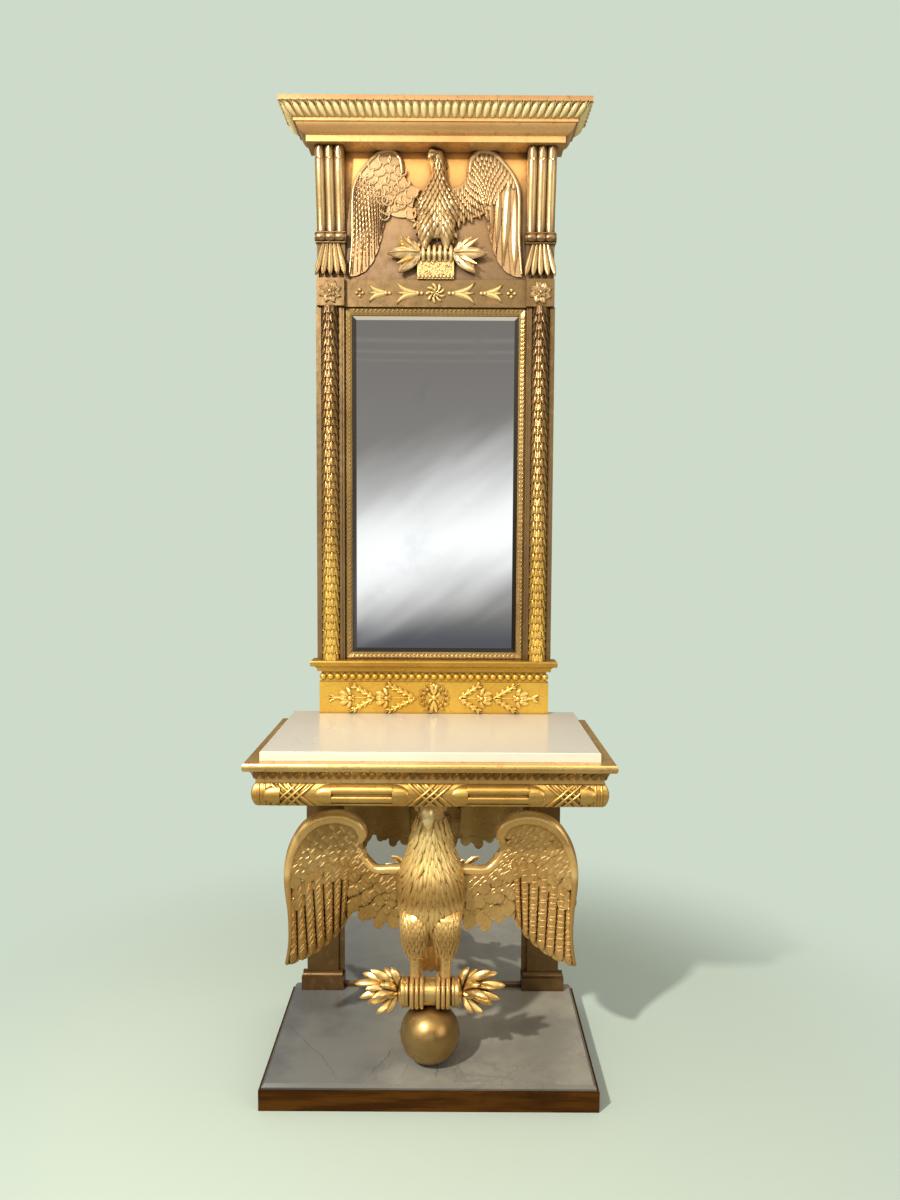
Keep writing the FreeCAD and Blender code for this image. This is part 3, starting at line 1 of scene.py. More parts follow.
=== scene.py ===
import bmesh
import bpy
import math
import random
from mathutils import Matrix, Vector
from mathutils.bvhtree import BVHTree


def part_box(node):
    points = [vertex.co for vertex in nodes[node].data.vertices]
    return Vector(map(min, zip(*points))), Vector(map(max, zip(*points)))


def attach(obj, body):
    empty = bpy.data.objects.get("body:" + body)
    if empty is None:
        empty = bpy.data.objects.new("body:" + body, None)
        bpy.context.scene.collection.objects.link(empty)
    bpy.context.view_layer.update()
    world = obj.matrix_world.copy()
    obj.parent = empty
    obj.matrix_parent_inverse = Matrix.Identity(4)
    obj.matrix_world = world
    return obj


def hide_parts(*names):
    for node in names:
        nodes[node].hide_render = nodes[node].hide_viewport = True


# Finish and carving of an Empire pier table and its pier mirror.
# Metres, X to the right, -Y to the front, +Z up, as in the frame. Carving is worked in millimetres
# and angles in radians, or in degrees where a function says so.

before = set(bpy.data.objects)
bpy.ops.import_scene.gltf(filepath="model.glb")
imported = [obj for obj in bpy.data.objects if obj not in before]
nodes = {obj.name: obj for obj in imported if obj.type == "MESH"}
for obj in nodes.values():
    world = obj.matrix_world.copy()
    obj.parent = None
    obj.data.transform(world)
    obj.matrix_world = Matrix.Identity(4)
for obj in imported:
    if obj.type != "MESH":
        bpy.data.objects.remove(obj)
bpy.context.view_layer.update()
rng = random.Random(1815)
MM = 0.001
TURN = 2.0 * math.pi
FRONT = Vector((0, -1, 0))
SIDES = ((-1, "left"), (1, "right"))

CAMERA_PLACE = Vector((0.0442, -2.4149, 1.3868))
CAMERA_PITCH = 4.248            # degrees below level
CAMERA_ROLL = 0.307             # degrees
CAMERA_LENS = 28.41             # on a 36 mm frame height
BACKDROP = (0.617, 0.708, 0.591, 1.0)
RAMP_TOP = 2.6                  # height in metres at the end of the ramp of painted light and shade


# ------------------------------------------------------------------ shader helpers
class Out:
    """Output of a shader node, which reckons as a number does."""

    def __init__(self, socket):
        self.socket = socket
        self.tree = socket.id_data

    def math(self, operation, a, b=0.0):
        return node(self.tree, "Math", {"operation": operation}, i0=a, i1=b)

    def __add__(self, other):
        return self.math("ADD", self, other)

    def __sub__(self, other):
        return self.math("SUBTRACT", self, other)

    def __rsub__(self, other):
        return self.math("SUBTRACT", other, self)

    def __mul__(self, other):
        return self.math("MULTIPLY", self, other)

    def __truediv__(self, other):
        return self.math("DIVIDE", self, other)

    def __abs__(self):
        return self.math("ABSOLUTE", self)

    def most(self, other):
        return self.math("MAXIMUM", self, other)


def feed(socket, value):
    """Links an output into a socket, or sets a plain value there."""
    if isinstance(value, Out):
        value.tree.links.new(value.socket, socket)
    else:
        socket.default_value = value


def node(tree, kind, settings=None, out=0, **inputs):
    """One output of a new shader node. Inputs are named, with _ for a blank, or numbered as i0, i1."""
    n = tree.nodes.new("ShaderNode" + kind)
    for key, value in (settings or {}).items():
        setattr(n, key, value)
    for key, value in inputs.items():
        feed(n.inputs[int(key[1:])] if key[0] == "i" else n.inputs[key.replace("_", " ")], value)
    return Out(n.outputs[out])


def mix(share, a, b):
    return node(share.tree, "Mix", {"data_type": "RGBA"}, 2, i0=share, i6=a, i7=b)


def spread(value, low, high, out_low=0.0, out_high=1.0):
    """Value stretched from low..high to out_low..out_high, smooth at both ends."""
    return node(value.tree, "MapRange", {"interpolation_type": "SMOOTHSTEP"}, Value=value, From_Min=low,
                From_Max=high, To_Min=out_low, To_Max=out_high)


def noise(where, scale, detail=3.0, rough=0.5, warp=0.0):
    return node(where.tree, "TexNoise", None, "Fac", Vector=where, Scale=scale, Detail=detail,
                Roughness=rough, Distortion=warp)


def coords(tree, scale=(1, 1, 1)):
    return node(tree, "Mapping", Vector=node(tree, "TexCoord", None, "Object"), Scale=scale)


def part(vector, axis):
    return node(vector.tree, "SeparateXYZ", None, axis, Vector=vector)


def facing(tree, axis):
    """How far the surface faces along an axis."""
    return part(node(tree, "TexCoord", None, "Normal"), axis)


def rays(tree, *kinds):
    """1 for rays of these kinds, such as the camera's."""
    path = tree.nodes.new("ShaderNodeLightPath").outputs
    seen = Out(path["Is " + kinds[0] + " Ray"])
    for kind in kinds[1:]:
        seen = seen.most(Out(path["Is " + kind + " Ray"]))
    return seen


def rgb(*values):
    return (*values, 1.0)


def new_group(name, outputs, **inputs):
    """A shader node group: its tree, what it is given, and the sockets that it fills."""
    tree = bpy.data.node_groups.new(name, "ShaderNodeTree")
    for label, value in inputs.items():
        kind = "Float" if isinstance(value, float) else "Color" if len(value) == 4 else "Vector"
        socket = tree.interface.new_socket(name=label, in_out="INPUT", socket_type="NodeSocket" + kind)
        socket.default_value = value
    for label in outputs:
        kind = "Color" if label == "Color" else "Float"
        tree.interface.new_socket(name=label, in_out="OUTPUT", socket_type="NodeSocket" + kind)
    given = tree.nodes.new("NodeGroupInput").outputs
    return tree, {label: Out(given[label]) for label in inputs}, tree.nodes.new("NodeGroupOutput").inputs


# ------------------------------------------------------------------ shader groups
def gilding_group():
    """Gold leaf over bole and gesso: toned patches, brown painted shade in the hollows, rubbed edges, and
    bare wood where a face lies at the wall, with patches of dirt in the same brown."""
    tree, given, out = new_group(
        "gilding", ("Color", "Roughness", "Height", "Bare"), Gold=rgb(0.92, 0.64, 0.25),
        Toned=rgb(0.72, 0.45, 0.14), Hollow=rgb(0.085, 0.036, 0.007), Bole=rgb(0.34, 0.14, 0.05),
        Reach=0.010, Rubbed=0.5)
    where = coords(tree)
    mottle = noise(where, 46.0, 4.0, 0.6)
    tone = mix(spread(noise(where, 4.0, 3.0, 0.55), 0.34, 0.70), given["Gold"], given["Toned"])
    tone = mix(spread(mottle, 0.55, 0.80, 0.0, 0.45), tone, given["Toned"])
    # Painted shade: ambient occlusion darkens the recesses towards the hollow colour, patchy with the mottle.
    open_sky = node(tree, "AmbientOcclusion", {"samples": 6}, "AO", Distance=given["Reach"])
    hollow = spread(open_sky, 0.90, 0.30) * spread(mottle, 0.2, 0.6, 0.8, 1.0)
    tone = mix(hollow, tone, given["Hollow"])
    edge = spread(node(tree, "NewGeometry", None, "Pointiness"), 0.53, 0.60)
    worn = edge * spread(mottle, 0.56, 0.70) * given["Rubbed"]
    bare = spread(facing(tree, 1), 0.90, 0.97) * spread(part(where, 1), 0.2555, 0.2585)
    fibre = noise(coords(tree, (4.0, 40.0, 40.0)), 3.0, 5.0, 0.6)
    plank = mix(spread(fibre, 0.35, 0.66), rgb(0.34, 0.225, 0.12), rgb(0.20, 0.12, 0.055))
    # Dirt: the hollow colour also lies in patches on the bare wood.
    plank = mix(spread(mottle, 0.5, 0.8, 0.0, 0.5), plank, given["Hollow"])
    feed(out["Color"], mix(bare, mix(worn, tone, given["Bole"]), plank))
    feed(out["Roughness"], spread(mottle, 0.3, 0.75, 0.26, 0.38) + hollow * 0.25 + worn * 0.2)
    feed(out["Height"], mottle * 0.6 + noise(where, 420.0, 2.0) * 0.16)
    feed(out["Bare"], bare)
    return tree


def stone_group():
    """Marble: soft clouds and veins between two colours, with fine pits."""
    tree, given, out = new_group(
        "stone", ("Color", "Roughness", "Height"), Pale=rgb(0.75, 0.71, 0.62), Cloud=rgb(0.6, 0.58, 0.53),
        Vein=rgb(0.40, 0.39, 0.37), Veins=0.5)
    where = coords(tree)
    clouds = noise(where, 5.0, 6.0, 0.6)
    vein = spread(abs(noise(where, 3.2, 5.0, 0.65, 1.4) - 0.5), 0.03, 0.0)
    vein = vein * spread(noise(where, 1.7, 2.0), 0.48, 0.66) * given["Veins"]
    ground = mix(spread(clouds, 0.36, 0.68), given["Pale"], given["Cloud"])
    feed(out["Color"], mix(vein, ground, given["Vein"]))
    feed(out["Roughness"], spread(clouds, 0.3, 0.7, 0.16, 0.28))
    feed(out["Height"], noise(where, 260.0, 2.0))
    return tree


def grain_group():
    """Softwood grain along Z or X, with darker late wood, knots of dirt and dents."""
    tree, given, out = new_group(
        "grain", ("Color", "Roughness", "Height"), Early=rgb(0.40, 0.26, 0.13), Late=rgb(0.22, 0.125, 0.05),
        Dirt=rgb(0.06, 0.035, 0.018), Stretch=(26.0, 26.0, 2.2))
    place = node(tree, "TexCoord", None, "Object")
    where = node(tree, "VectorMath", {"operation": "MULTIPLY"}, i0=place, i1=given["Stretch"])
    rings = noise(where, 2.2, 5.0, 0.6)
    fibre = noise(where, 14.0, 3.0, 0.7)
    stain = noise(place, 9.0, 4.0, 0.6)
    colour = mix(spread(rings, 0.38, 0.64), given["Early"], given["Late"])
    colour = mix(spread(fibre, 0.52, 0.75, 0.0, 0.5), colour, given["Late"])
    feed(out["Color"], mix(spread(stain, 0.52, 0.74, 0.0, 0.65), colour, given["Dirt"]))
    feed(out["Roughness"], spread(stain, 0.3, 0.7, 0.45, 0.66))
    feed(out["Height"], fibre + rings * 0.5)
    return tree


GROUPS = {"gilding": gilding_group(), "stone": stone_group(), "grain": grain_group()}


def use_group(tree, name, **values):
    n = tree.nodes.new("ShaderNodeGroup")
    n.node_tree = GROUPS[name]
    for key, value in values.items():
        n.inputs[key].default_value = value
    return {label: Out(socket) for label, socket in n.outputs.items()}


# ------------------------------------------------------------------ finishes
def new_finish(name):
    """An empty material, its tree and the inputs of its Principled shader."""
    m = bpy.data.materials.new(name)
    m.use_nodes = True
    return m, m.node_tree, m.node_tree.nodes["Principled BSDF"].inputs


def set_surface(paint, colour, rough, height, depth, strength=1.0):
    feed(paint["Base Color"], colour)
    feed(paint["Roughness"], rough)
    feed(paint["Normal"], node(colour.tree, "Bump", Height=height, Distance=depth, Strength=strength))


def painted_light_by_height(colour, painted_light_stops):
    """Colour with light and shade painted on by height: each stop is a height in metres and the colour to
    multiply by.
    """
    tree = colour.tree
    ramp = tree.nodes.new("ShaderNodeValToRGB")
    feed(ramp.inputs["Fac"], part(coords(tree), 2) / RAMP_TOP)
    band = ramp.color_ramp.elements
    for element, (height, tint) in ((band[0], painted_light_stops[0]), (band[1], painted_light_stops[-1])):
        element.position, element.color = height / RAMP_TOP, rgb(*tint)
    for height, tint in painted_light_stops[1:-1]:
        band.new(height / RAMP_TOP).color = rgb(*tint)
    return node(tree, "Mix", {"data_type": "RGBA", "blend_type": "MULTIPLY"}, 2, i0=1.0, i6=colour,
                i7=Out(ramp.outputs["Color"]))


def gilt(name, metal, gold, toned, reach, hollow=(0.085, 0.036, 0.007), rubbed=0.5, painted_light_stops=()):
    """Gilded wood: metal is its metallic share, reach how far the painted shade in its hollows spreads in
    metres, and any height stops paint light and shade onto its colour.
    """
    m, tree, paint = new_finish("gilt_" + name)
    # The hollow colour is the painted shade in the recesses.
    leaf = use_group(tree, "gilding", Gold=rgb(*gold), Toned=rgb(*toned), Reach=reach,
                     Hollow=rgb(*hollow), Rubbed=rubbed)
    colour = painted_light_by_height(leaf["Color"], painted_light_stops) if painted_light_stops else leaf["Color"]
    set_surface(paint, colour, leaf["Roughness"] + leaf["Bare"] * 0.35, leaf["Height"], 0.0005)
    feed(paint["Metallic"], (1.0 - leaf["Bare"]) * metal)
    return m


def stone(name, pale, cloud, vein, veins, coat, left=(1.0, 1.0, 1.0), edge=1.0):
    """Marble, toned towards the left, with painted shade on what doesn't face up."""
    m, tree, paint = new_finish(name)
    marble = use_group(tree, "stone", Pale=rgb(*pale), Cloud=rgb(*cloud), Vein=rgb(*vein), Veins=veins)
    tint = mix(spread(part(coords(tree), 0), -0.30, 0.15), rgb(*left), rgb(1.0, 1.0, 1.0))
    colour = node(tree, "VectorMath", {"operation": "MULTIPLY"}, i0=marble["Color"], i1=tint)
    # Painted shade: faces that don't face up are darkened, down to the edge share.
    colour = node(tree, "VectorMath", {"operation": "SCALE"}, i0=colour,
                  Scale=spread(facing(tree, 2), 0.98, 0.80, 1.0, edge))
    set_surface(paint, colour, marble["Roughness"], marble["Height"], 0.0001, 0.5)
    feed(paint["Coat Weight"], coat)
    feed(paint["Coat Roughness"], 0.12)
    return m


def wood(name, early, late, stretch, dirt=(0.06, 0.035, 0.018), shine=0.25):
    m, tree, paint = new_finish(name)
    grain = use_group(tree, "grain", Early=rgb(*early), Late=rgb(*late), Dirt=rgb(*dirt), Stretch=stretch)
    set_surface(paint, grain["Color"], grain["Roughness"], grain["Height"], 0.0004)
    feed(paint["Specular IOR Level"], shine)
    return m


def silvered(name):
    """Old mirror plate: nearly clean, with a slight wave, a faint bloom and a darker bevel."""
    m, tree, paint = new_finish(name)
    where = coords(tree)
    bloom = noise(where, 9.0, 4.0, 0.6)
    colour = mix(spread(bloom, 0.55, 0.8, 0.0, 0.5), rgb(0.80, 0.82, 0.82), rgb(0.66, 0.68, 0.69))
    colour = mix(spread(abs(facing(tree, 1)), 0.9995, 0.9985), colour, rgb(0.24, 0.24, 0.24))
    set_surface(paint, colour, spread(bloom, 0.35, 0.8, 0.015, 0.06), noise(where, 3.0, 1.0), 0.0004, 0.25)
    feed(paint["Metallic"], 1.0)
    return m


ALONG_X = (2.2, 26.0, 26.0)
ALONG_Z = (26.0, 26.0, 2.2)
# Each gilding: metallic share, gold, toned gold, reach, then the colour of its painted shade in the hollows,
# rubbing and stops of painted light by height.
PLAIN_GILT = gilt("plain", 0.86, (0.92, 0.64, 0.25), (0.72, 0.45, 0.14), 0.010)
QUILL_GILT = gilt("quill", 0.86, (0.92, 0.64, 0.25), (0.72, 0.45, 0.14), 0.008)
# Painted light by height: painted highlights across the thighs and the chest, painted shade below and between
# them and up the neck.
BODY_GILT = gilt("body", 0.62, (1.0, 0.74, 0.33), (0.80, 0.52, 0.18), 0.005, (0.16, 0.07, 0.014), 0.2, (
    (0.28, (0.72, 0.62, 0.50)), (0.38, (0.52, 0.42, 0.30)), (0.412, (0.9, 0.84, 0.72)),
    (0.442, (1.0, 0.95, 0.84)), (0.47, (0.55, 0.44, 0.30)), (0.51, (0.72, 0.62, 0.48)),
    (0.555, (1.15, 1.15, 1.05)), (0.635, (1.15, 1.15, 1.05)), (0.67, (0.74, 0.64, 0.50)),
    (0.74, (0.60, 0.50, 0.38))))
# Brighter gold for the rolled edges, with painted light by height: painted shade low on the roll and a
# painted highlight just over half a metre up.
ROLL_GILT = gilt("roll", 0.6, (0.98, 0.70, 0.30), (0.78, 0.49, 0.16), 0.020, painted_light_stops=(
    (0.30, (0.50, 0.40, 0.28)), (0.50, (0.62, 0.52, 0.38)), (0.52, (1.1, 1.1, 1.1)),
    (0.56, (0.9, 0.84, 0.74)), (0.66, (1.0, 0.96, 0.88))))
RIM_GILT = gilt("rim", 0.4, (0.96, 0.72, 0.40), (0.80, 0.56, 0.28), 0.001)
STROKE_GILT = gilt("stroke", 0.5, (1.0, 0.74, 0.34), (0.86, 0.58, 0.22), 0.002)
# One gilding in two copies: the left wing darker with painted shade, the right wing brighter with painted
# light.
LIT_AND_SHADED_WING_GILT = {
    "left": gilt("wing_left", 0.8, (0.72, 0.47, 0.165), (0.50, 0.28, 0.072), 0.013, (0.05, 0.02, 0.003)),
    "right": gilt("wing_right", 0.8, (0.98, 0.64, 0.24), (0.74, 0.43, 0.12), 0.013, (0.06, 0.024, 0.004))}
BOLT_GILT = gilt("bolt", 0.8, (0.78, 0.53, 0.20), (0.55, 0.33, 0.09), 0.009, (0.06, 0.024, 0.004))
CLAW_GILT = gilt("claw", 0.7, (1.0, 0.78, 0.38), (0.88, 0.62, 0.26), 0.008)
FLOWER_GILT = gilt("flower", 0.5, (0.80, 0.57, 0.235), (0.62, 0.40, 0.14), 0.006)
# Painted light by height: a painted highlight on the lower cornice, painted shade above 2.49 m.
CORNICE_GILT = gilt("cornice", 0.55, (0.62, 0.37, 0.16), (0.50, 0.28, 0.11), 0.012, painted_light_stops=(
    (2.40, (1.15, 1.12, 1.0)), (2.484, (1.15, 1.12, 1.0)), (2.490, (0.72, 0.68, 0.70))))
TONGUE_GILT = gilt("tongue", 0.30, (1.0, 0.84, 0.42), (0.92, 0.68, 0.30), 0.009, (0.10, 0.05, 0.01))
# Painted shade towards the foot and the top of each bracket, full colour between.
BRACKET_GILT = gilt("bracket", 0.75, (0.68, 0.48, 0.235), (0.47, 0.31, 0.135), 0.024, painted_light_stops=(
    (2.19, (0.60, 0.55, 0.55)), (2.26, (1.0, 1.0, 1.0)), (2.35, (1.0, 1.0, 1.0)),
    (2.41, (0.62, 0.55, 0.50))))
BRACKET_LEAF = gilt("bracket_leaf", 0.7, (0.72, 0.52, 0.26), (0.52, 0.34, 0.155), 0.012)
APRON_GILT = gilt("apron", 0.8, (0.78, 0.49, 0.14), (0.58, 0.34, 0.075), 0.012)
# Painted light by height: cool dark painted shade low on the panel, warm bright painted light at its top.
TABLET_GILT = gilt("tablet", 0.6, (0.80, 0.52, 0.22), (0.70, 0.42, 0.16), 0.030, rubbed=0.2, painted_light_stops=(
    (2.08, (0.34, 0.33, 0.42)), (2.24, (0.44, 0.42, 0.48)), (2.33, (0.85, 0.76, 0.66)),
    (2.40, (1.42, 1.18, 0.86))))
RELIEF_GILT = gilt("relief", 0.55, (0.60, 0.40, 0.20), (0.47, 0.29, 0.13), 0.005, (0.20, 0.11, 0.045), 0.25)
RELIEF_BODY = gilt("relief_body", 0.6, (0.76, 0.54, 0.27), (0.57, 0.37, 0.17), 0.006, (0.16, 0.085, 0.03),
                   0.25)
DULL_GILT = gilt("dull", 0.6, (0.27, 0.17, 0.068), (0.20, 0.12, 0.046), 0.020)
LEG_GILT = gilt("leg", 0.6, (0.20, 0.115, 0.038), (0.12, 0.065, 0.020), 0.020)
BALL_GILT = gilt("ball", 0.8, (0.46, 0.31, 0.12), (0.30, 0.165, 0.045), 0.030, rubbed=0.2)
RICH_GILT = gilt("rich", 0.6, (0.82, 0.51, 0.075), (0.70, 0.39, 0.045), 0.010, rubbed=0.25)
LIP_GILT = gilt("lip", 0.6, (0.56, 0.33, 0.05), (0.46, 0.25, 0.032), 0.010, rubbed=0.25)
DARK_GILT = gilt("dark", 0.86, (0.46, 0.28, 0.09), (0.25, 0.14, 0.04), 0.009, (0.05, 0.024, 0.008))
RICH_LEAF = gilt("rich_leaf", 0.6, (0.94, 0.70, 0.21), (0.80, 0.50, 0.095), 0.005, (0.30, 0.15, 0.02))
# Painted light by height: warm and full at the foot, painted shade growing dark towards the top.
COLUMN_GILT = gilt("column", 0.7, (0.80, 0.54, 0.22), (0.54, 0.34, 0.12), 0.008, painted_light_stops=(
    (1.08, (1.05, 1.0, 0.50)), (1.50, (0.48, 0.43, 0.34)), (1.95, (0.18, 0.155, 0.145))))
STILE_GILT = gilt("stile", 0.5, (0.52, 0.34, 0.12), (0.36, 0.22, 0.07), 0.007)
WHITE_MARBLE = stone("white_marble", (0.79, 0.74, 0.61), (0.76, 0.71, 0.59), (0.60, 0.57, 0.50), 0.35, 0.12)
# Painted shade on the grey slab: its faces that don't face up are darkened to half.
GREY_MARBLE = stone("grey_marble", (0.43, 0.395, 0.30), (0.28, 0.265, 0.21), (0.16, 0.155, 0.135), 0.4, 0.03,
                    (0.50, 0.55, 0.66), 0.50)
CRACK_DIRT = stone("crack_dirt", (0.13, 0.125, 0.105), (0.09, 0.085, 0.07), (0.06, 0.06, 0.05), 0.0, 0.0)
PLINTH_PAINT = wood("plinth_paint", (0.090, 0.032, 0.004), (0.043, 0.015, 0.002), ALONG_X,
                    (0.018, 0.007, 0.002), 0.04)
BARE_WOOD = wood("bare_wood", (0.42, 0.29, 0.16), (0.28, 0.17, 0.08), ALONG_Z)
BARE_RAIL = wood("bare_rail", (0.42, 0.29, 0.16), (0.28, 0.17, 0.08), ALONG_X)
IRON = wood("black_iron", (0.06, 0.055, 0.05), (0.035, 0.03, 0.028), ALONG_Z)
MIRROR = silvered("silvered_glass")

NODE_FINISH = {name: finish for finish, names in (
    (PLINTH_PAINT, "plinth_front plinth_sides plinth_back"),
    (BARE_RAIL, "plinth_bearer cross_rail corner_blocks apron_back wing_dowels"),
    (BARE_WOOD, "lower_backboard mirror_backboard"), (MIRROR, "lower_glass mirror_glass"),
    (GREY_MARBLE, "plinth_slab"), (WHITE_MARBLE, "marble_top"), (BALL_GILT, "ball"), (IRON, "centre_rod"),
    (RICH_GILT, "base_board base_beads"), (LIP_GILT, "base_moulding"),
    (LEG_GILT, "rear_leg_left rear_leg_right rear_feet lower_glass_beads"),
    (DULL_GILT, "stile_left stile_right frieze_board rosette_block_left rosette_block_right"),
    (TABLET_GILT, "tablet_panel"), (RELIEF_BODY, "relief_eagle"), (RELIEF_GILT, "relief_wings"),
    (COLUMN_GILT, "column_left column_right"), (STILE_GILT, "glass_slips"),
    (BRACKET_GILT, "bracket_left bracket_right"), (BOLT_GILT, "thunderbolt_shaft"),
    (BODY_GILT, "eagle_body eagle_leg_left eagle_leg_right"),
    (LIT_AND_SHADED_WING_GILT["left"], "wing_left"), (LIT_AND_SHADED_WING_GILT["right"], "wing_right"),
    (APRON_GILT, "apron_front apron_left apron_right"), (CORNICE_GILT, "cornice_front cornice_returns"),
) for name in names.split()}
for name, ob in nodes.items():
    ob.data.materials.clear()
    ob.data.materials.append(NODE_FINISH.get(name, PLAIN_GILT))


# ------------------------------------------------------------------ stage, camera and light
def to_scene(name, data):
    ob = bpy.data.objects.new(name, data)
    bpy.context.scene.collection.objects.link(ob)
    return ob


def solid(name, bm, finish):
    """A smooth object at the origin from a bmesh, which is freed."""
    mesh = bpy.data.meshes.new(name)
    bm.to_mesh(mesh)
    bm.free()
    mesh.shade_smooth()
    mesh.materials.append(finish)
    return to_scene(name, mesh)


def make_world():
    """Background colour where the camera, metal and glass see it, and plain light elsewhere."""
    world = bpy.data.worlds.new("studio")
    bpy.context.scene.world = world
    world.use_nodes = True
    tree = world.node_tree
    feed(tree.nodes["Background"].inputs["Color"],
         mix(rays(tree, "Camera", "Glossy", "Transmission"), rgb(0.50, 0.49, 0.475), BACKDROP))


def make_floor():
    """Pale floor that keeps the object's shadow and runs out into the backdrop."""
    bm = bmesh.new()
    bmesh.ops.create_grid(bm, x_segments=2, y_segments=2, size=14.0)
    m, tree, paint = new_finish("floor_paint")
    for label, value in (("Base Color", BACKDROP), ("Roughness", 0.9), ("Specular IOR Level", 0.1)):
        feed(paint[label], value)
    distance = node(tree, "VectorMath", {"operation": "LENGTH"}, "Value",
                    i0=node(tree, "TexCoord", None, "Object"))
    glossy = rays(tree, "Glossy")
    share = spread(distance, 0.75, 1.7) * rays(tree, "Camera", "Glossy", "Transmission")
    far = node(tree, "Emission", Color=mix(glossy, BACKDROP, rgb(0.20, 0.175, 0.14)))
    near = Out(tree.nodes["Principled BSDF"].outputs[0])
    feed(tree.nodes["Material Output"].inputs["Surface"],
         node(tree, "MixShader", i0=share.most(glossy * 0.8), i1=near, i2=far))
    solid("floor", bm, m)


def make_reflector():
    """Room round the object, seen only by the gilding and the glass. What the tall mirror shows of it is
    grey, with a white window low in front that slants; the rest is warm, with pale light overhead."""
    bm = bmesh.new()
    bmesh.ops.create_uvsphere(bm, u_segments=64, v_segments=32, radius=5.6)
    bmesh.ops.translate(bm, vec=(0.0, 0.0, 1.2), verts=bm.verts)
    bmesh.ops.reverse_faces(bm, faces=bm.faces)
    m, tree, _ = new_finish("reflector_cloth")
    tree.nodes.remove(tree.nodes["Principled BSDF"])
    x, y, height = (part(coords(tree), axis) for axis in range(3))
    overhead = spread(height, 3.35, 3.9) * spread(height, 6.2, 5.4) * (
        spread(x, -3.0, -2.2) * spread(x, 2.4, 1.4))
    left = spread(x, -2.1, -2.6) * spread(height, 0.3, 2.8, 0.1, 0.6)
    right = spread(x, 1.9, 2.6) * spread(height, 0.6, 3.2, 0.0, 0.26)
    room = mix(spread(height, 0.0, 5.0), rgb(0.10, 0.072, 0.040), rgb(0.42, 0.36, 0.27))
    room = mix(left.most(right).most(overhead) * spread(y, -1.0, -2.6), room, rgb(2.6, 2.3, 1.8))
    wall = mix(spread(height, 1.6, 3.3), rgb(0.30, 0.285, 0.27), rgb(0.23, 0.21, 0.195))
    wall = mix(spread(height, 0.75, 0.35), wall, rgb(0.115, 0.118, 0.135))
    for level, thick in ((2.99, 0.030), (2.90, 0.022), (2.83, 0.014)):
        wall = mix(spread(abs(height - level), thick, 0.0, 0.0, 0.45), wall, rgb(0.34, 0.32, 0.30))
    streaks = node(tree, "CombineXYZ", X=x + height * 0.75, Z=(height - x * 0.75) * 5.0)
    lean = height - x * 0.25 + spread(noise(streaks, 0.8, 1.5), 0.25, 0.75, -0.07, 0.07)
    wall = mix(spread(lean, 0.45, 1.25) * spread(lean, 2.35, 1.25), wall, rgb(1.25, 1.25, 1.25))
    shown = spread(x, -2.1, -1.7) * spread(x, 1.5, 1.2) * (
        spread(height, -0.6, 0.1) * spread(height, 3.6, 3.35)) * spread(y, -3.0, -3.8)
    feed(tree.nodes["Material Output"].inputs["Surface"],
         node(tree, "Emission", Color=mix(shown, room, wall)))
    room = solid("reflector", bm, m)
    room.visible_camera = room.visible_diffuse = room.visible_shadow = room.visible_transmission = False


def make_lamp(name, place, size, watts, colour):
    data = bpy.data.lights.new(name, "AREA")
    data.size, data.energy, data.color = size, watts, colour
    lamp = to_scene(name, data)
    lamp.location = place
    lamp.rotation_euler = (Vector((0.0, 0.0, 1.0)) - Vector(place)).to_track_quat("-Z", "Y").to_euler()


def make_camera():
    data = bpy.data.cameras.new("camera")
    data.sensor_fit, data.sensor_height, data.lens = "VERTICAL", 36.0, CAMERA_LENS
    camera = to_scene("camera", data)
    turn = Matrix.Rotation(math.radians(90.0 - CAMERA_PITCH), 4, "X")
    roll = Matrix.Rotation(math.radians(CAMERA_ROLL), 4, "Z")
    camera.matrix_world = Matrix.Translation(CAMERA_PLACE) @ turn @ roll
    bpy.context.scene.camera = camera


bpy.context.scene.view_settings.view_transform = "Standard"
make_camera()
make_world()
make_floor()
make_reflector()
make_lamp("key", (-1.7, -2.7, 3.1), 0.17, 150.0, (1.0, 0.97, 0.92))
make_lamp("fill", (2.4, -2.2, 1.6), 1.6, 14.0, (1.0, 0.98, 0.95))


# ------------------------------------------------------------------ mesh helpers
def piece(name, bm, finish, replaced=()):
    """A finished mesh, brought to metres, that rides on the frame and stands for the nodes in replaced."""
    bmesh.ops.recalc_face_normals(bm, faces=bm.faces)
    bmesh.ops.scale(bm, vec=(MM, MM, MM), verts=bm.verts)
    ob = solid(name, bm, finish)
    ob.data.set_sharp_from_angle(angle=math.radians(38.0))
    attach(ob, "root")
    if replaced:
        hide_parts(*replaced)


def size_of(name):
    low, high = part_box(name)
    return low / MM, high / MM


def form(rows, columns, width, height, foot=-0.5):
    """A closed leaf as a mesh to be stamped: x is 0..1 from root to tip, y is -1..1 across, and z
    is 0..1 of its rise, with its underside at foot. width(s) and height(s, t) give outline and swell."""
    bm = bmesh.new()
    bmesh.ops.create_grid(bm, x_segments=rows, y_segments=columns, size=1.0)
    rim = [e for e in bm.edges if e.is_boundary]
    for v in bm.verts:
        s = (v.co.x + 1.0) / 2.0
        v.co = Vector((s, v.co.y * width(s), height(s, v.co.y)))
    lower = bmesh.ops.extrude_edge_only(bm, edges=rim)["geom"]
    for v in [g for g in lower if isinstance(g, bmesh.types.BMVert)]:
        v.co.z = foot
    bmesh.ops.contextual_create(bm, geom=[g for g in lower if isinstance(g, bmesh.types.BMEdge)])
    mesh = bpy.data.meshes.new("form")
    bm.to_mesh(mesh)
    bm.free()
    return mesh


def stamp(bm, shape, place):
    """Adds one copy of a form, each of its points moved by place(s, t, h)."""
    start = len(bm.verts)
    bm.from_mesh(shape)
    bm.verts.ensure_lookup_table()
    for v in bm.verts[start:]:
        v.co = place(*v.co)


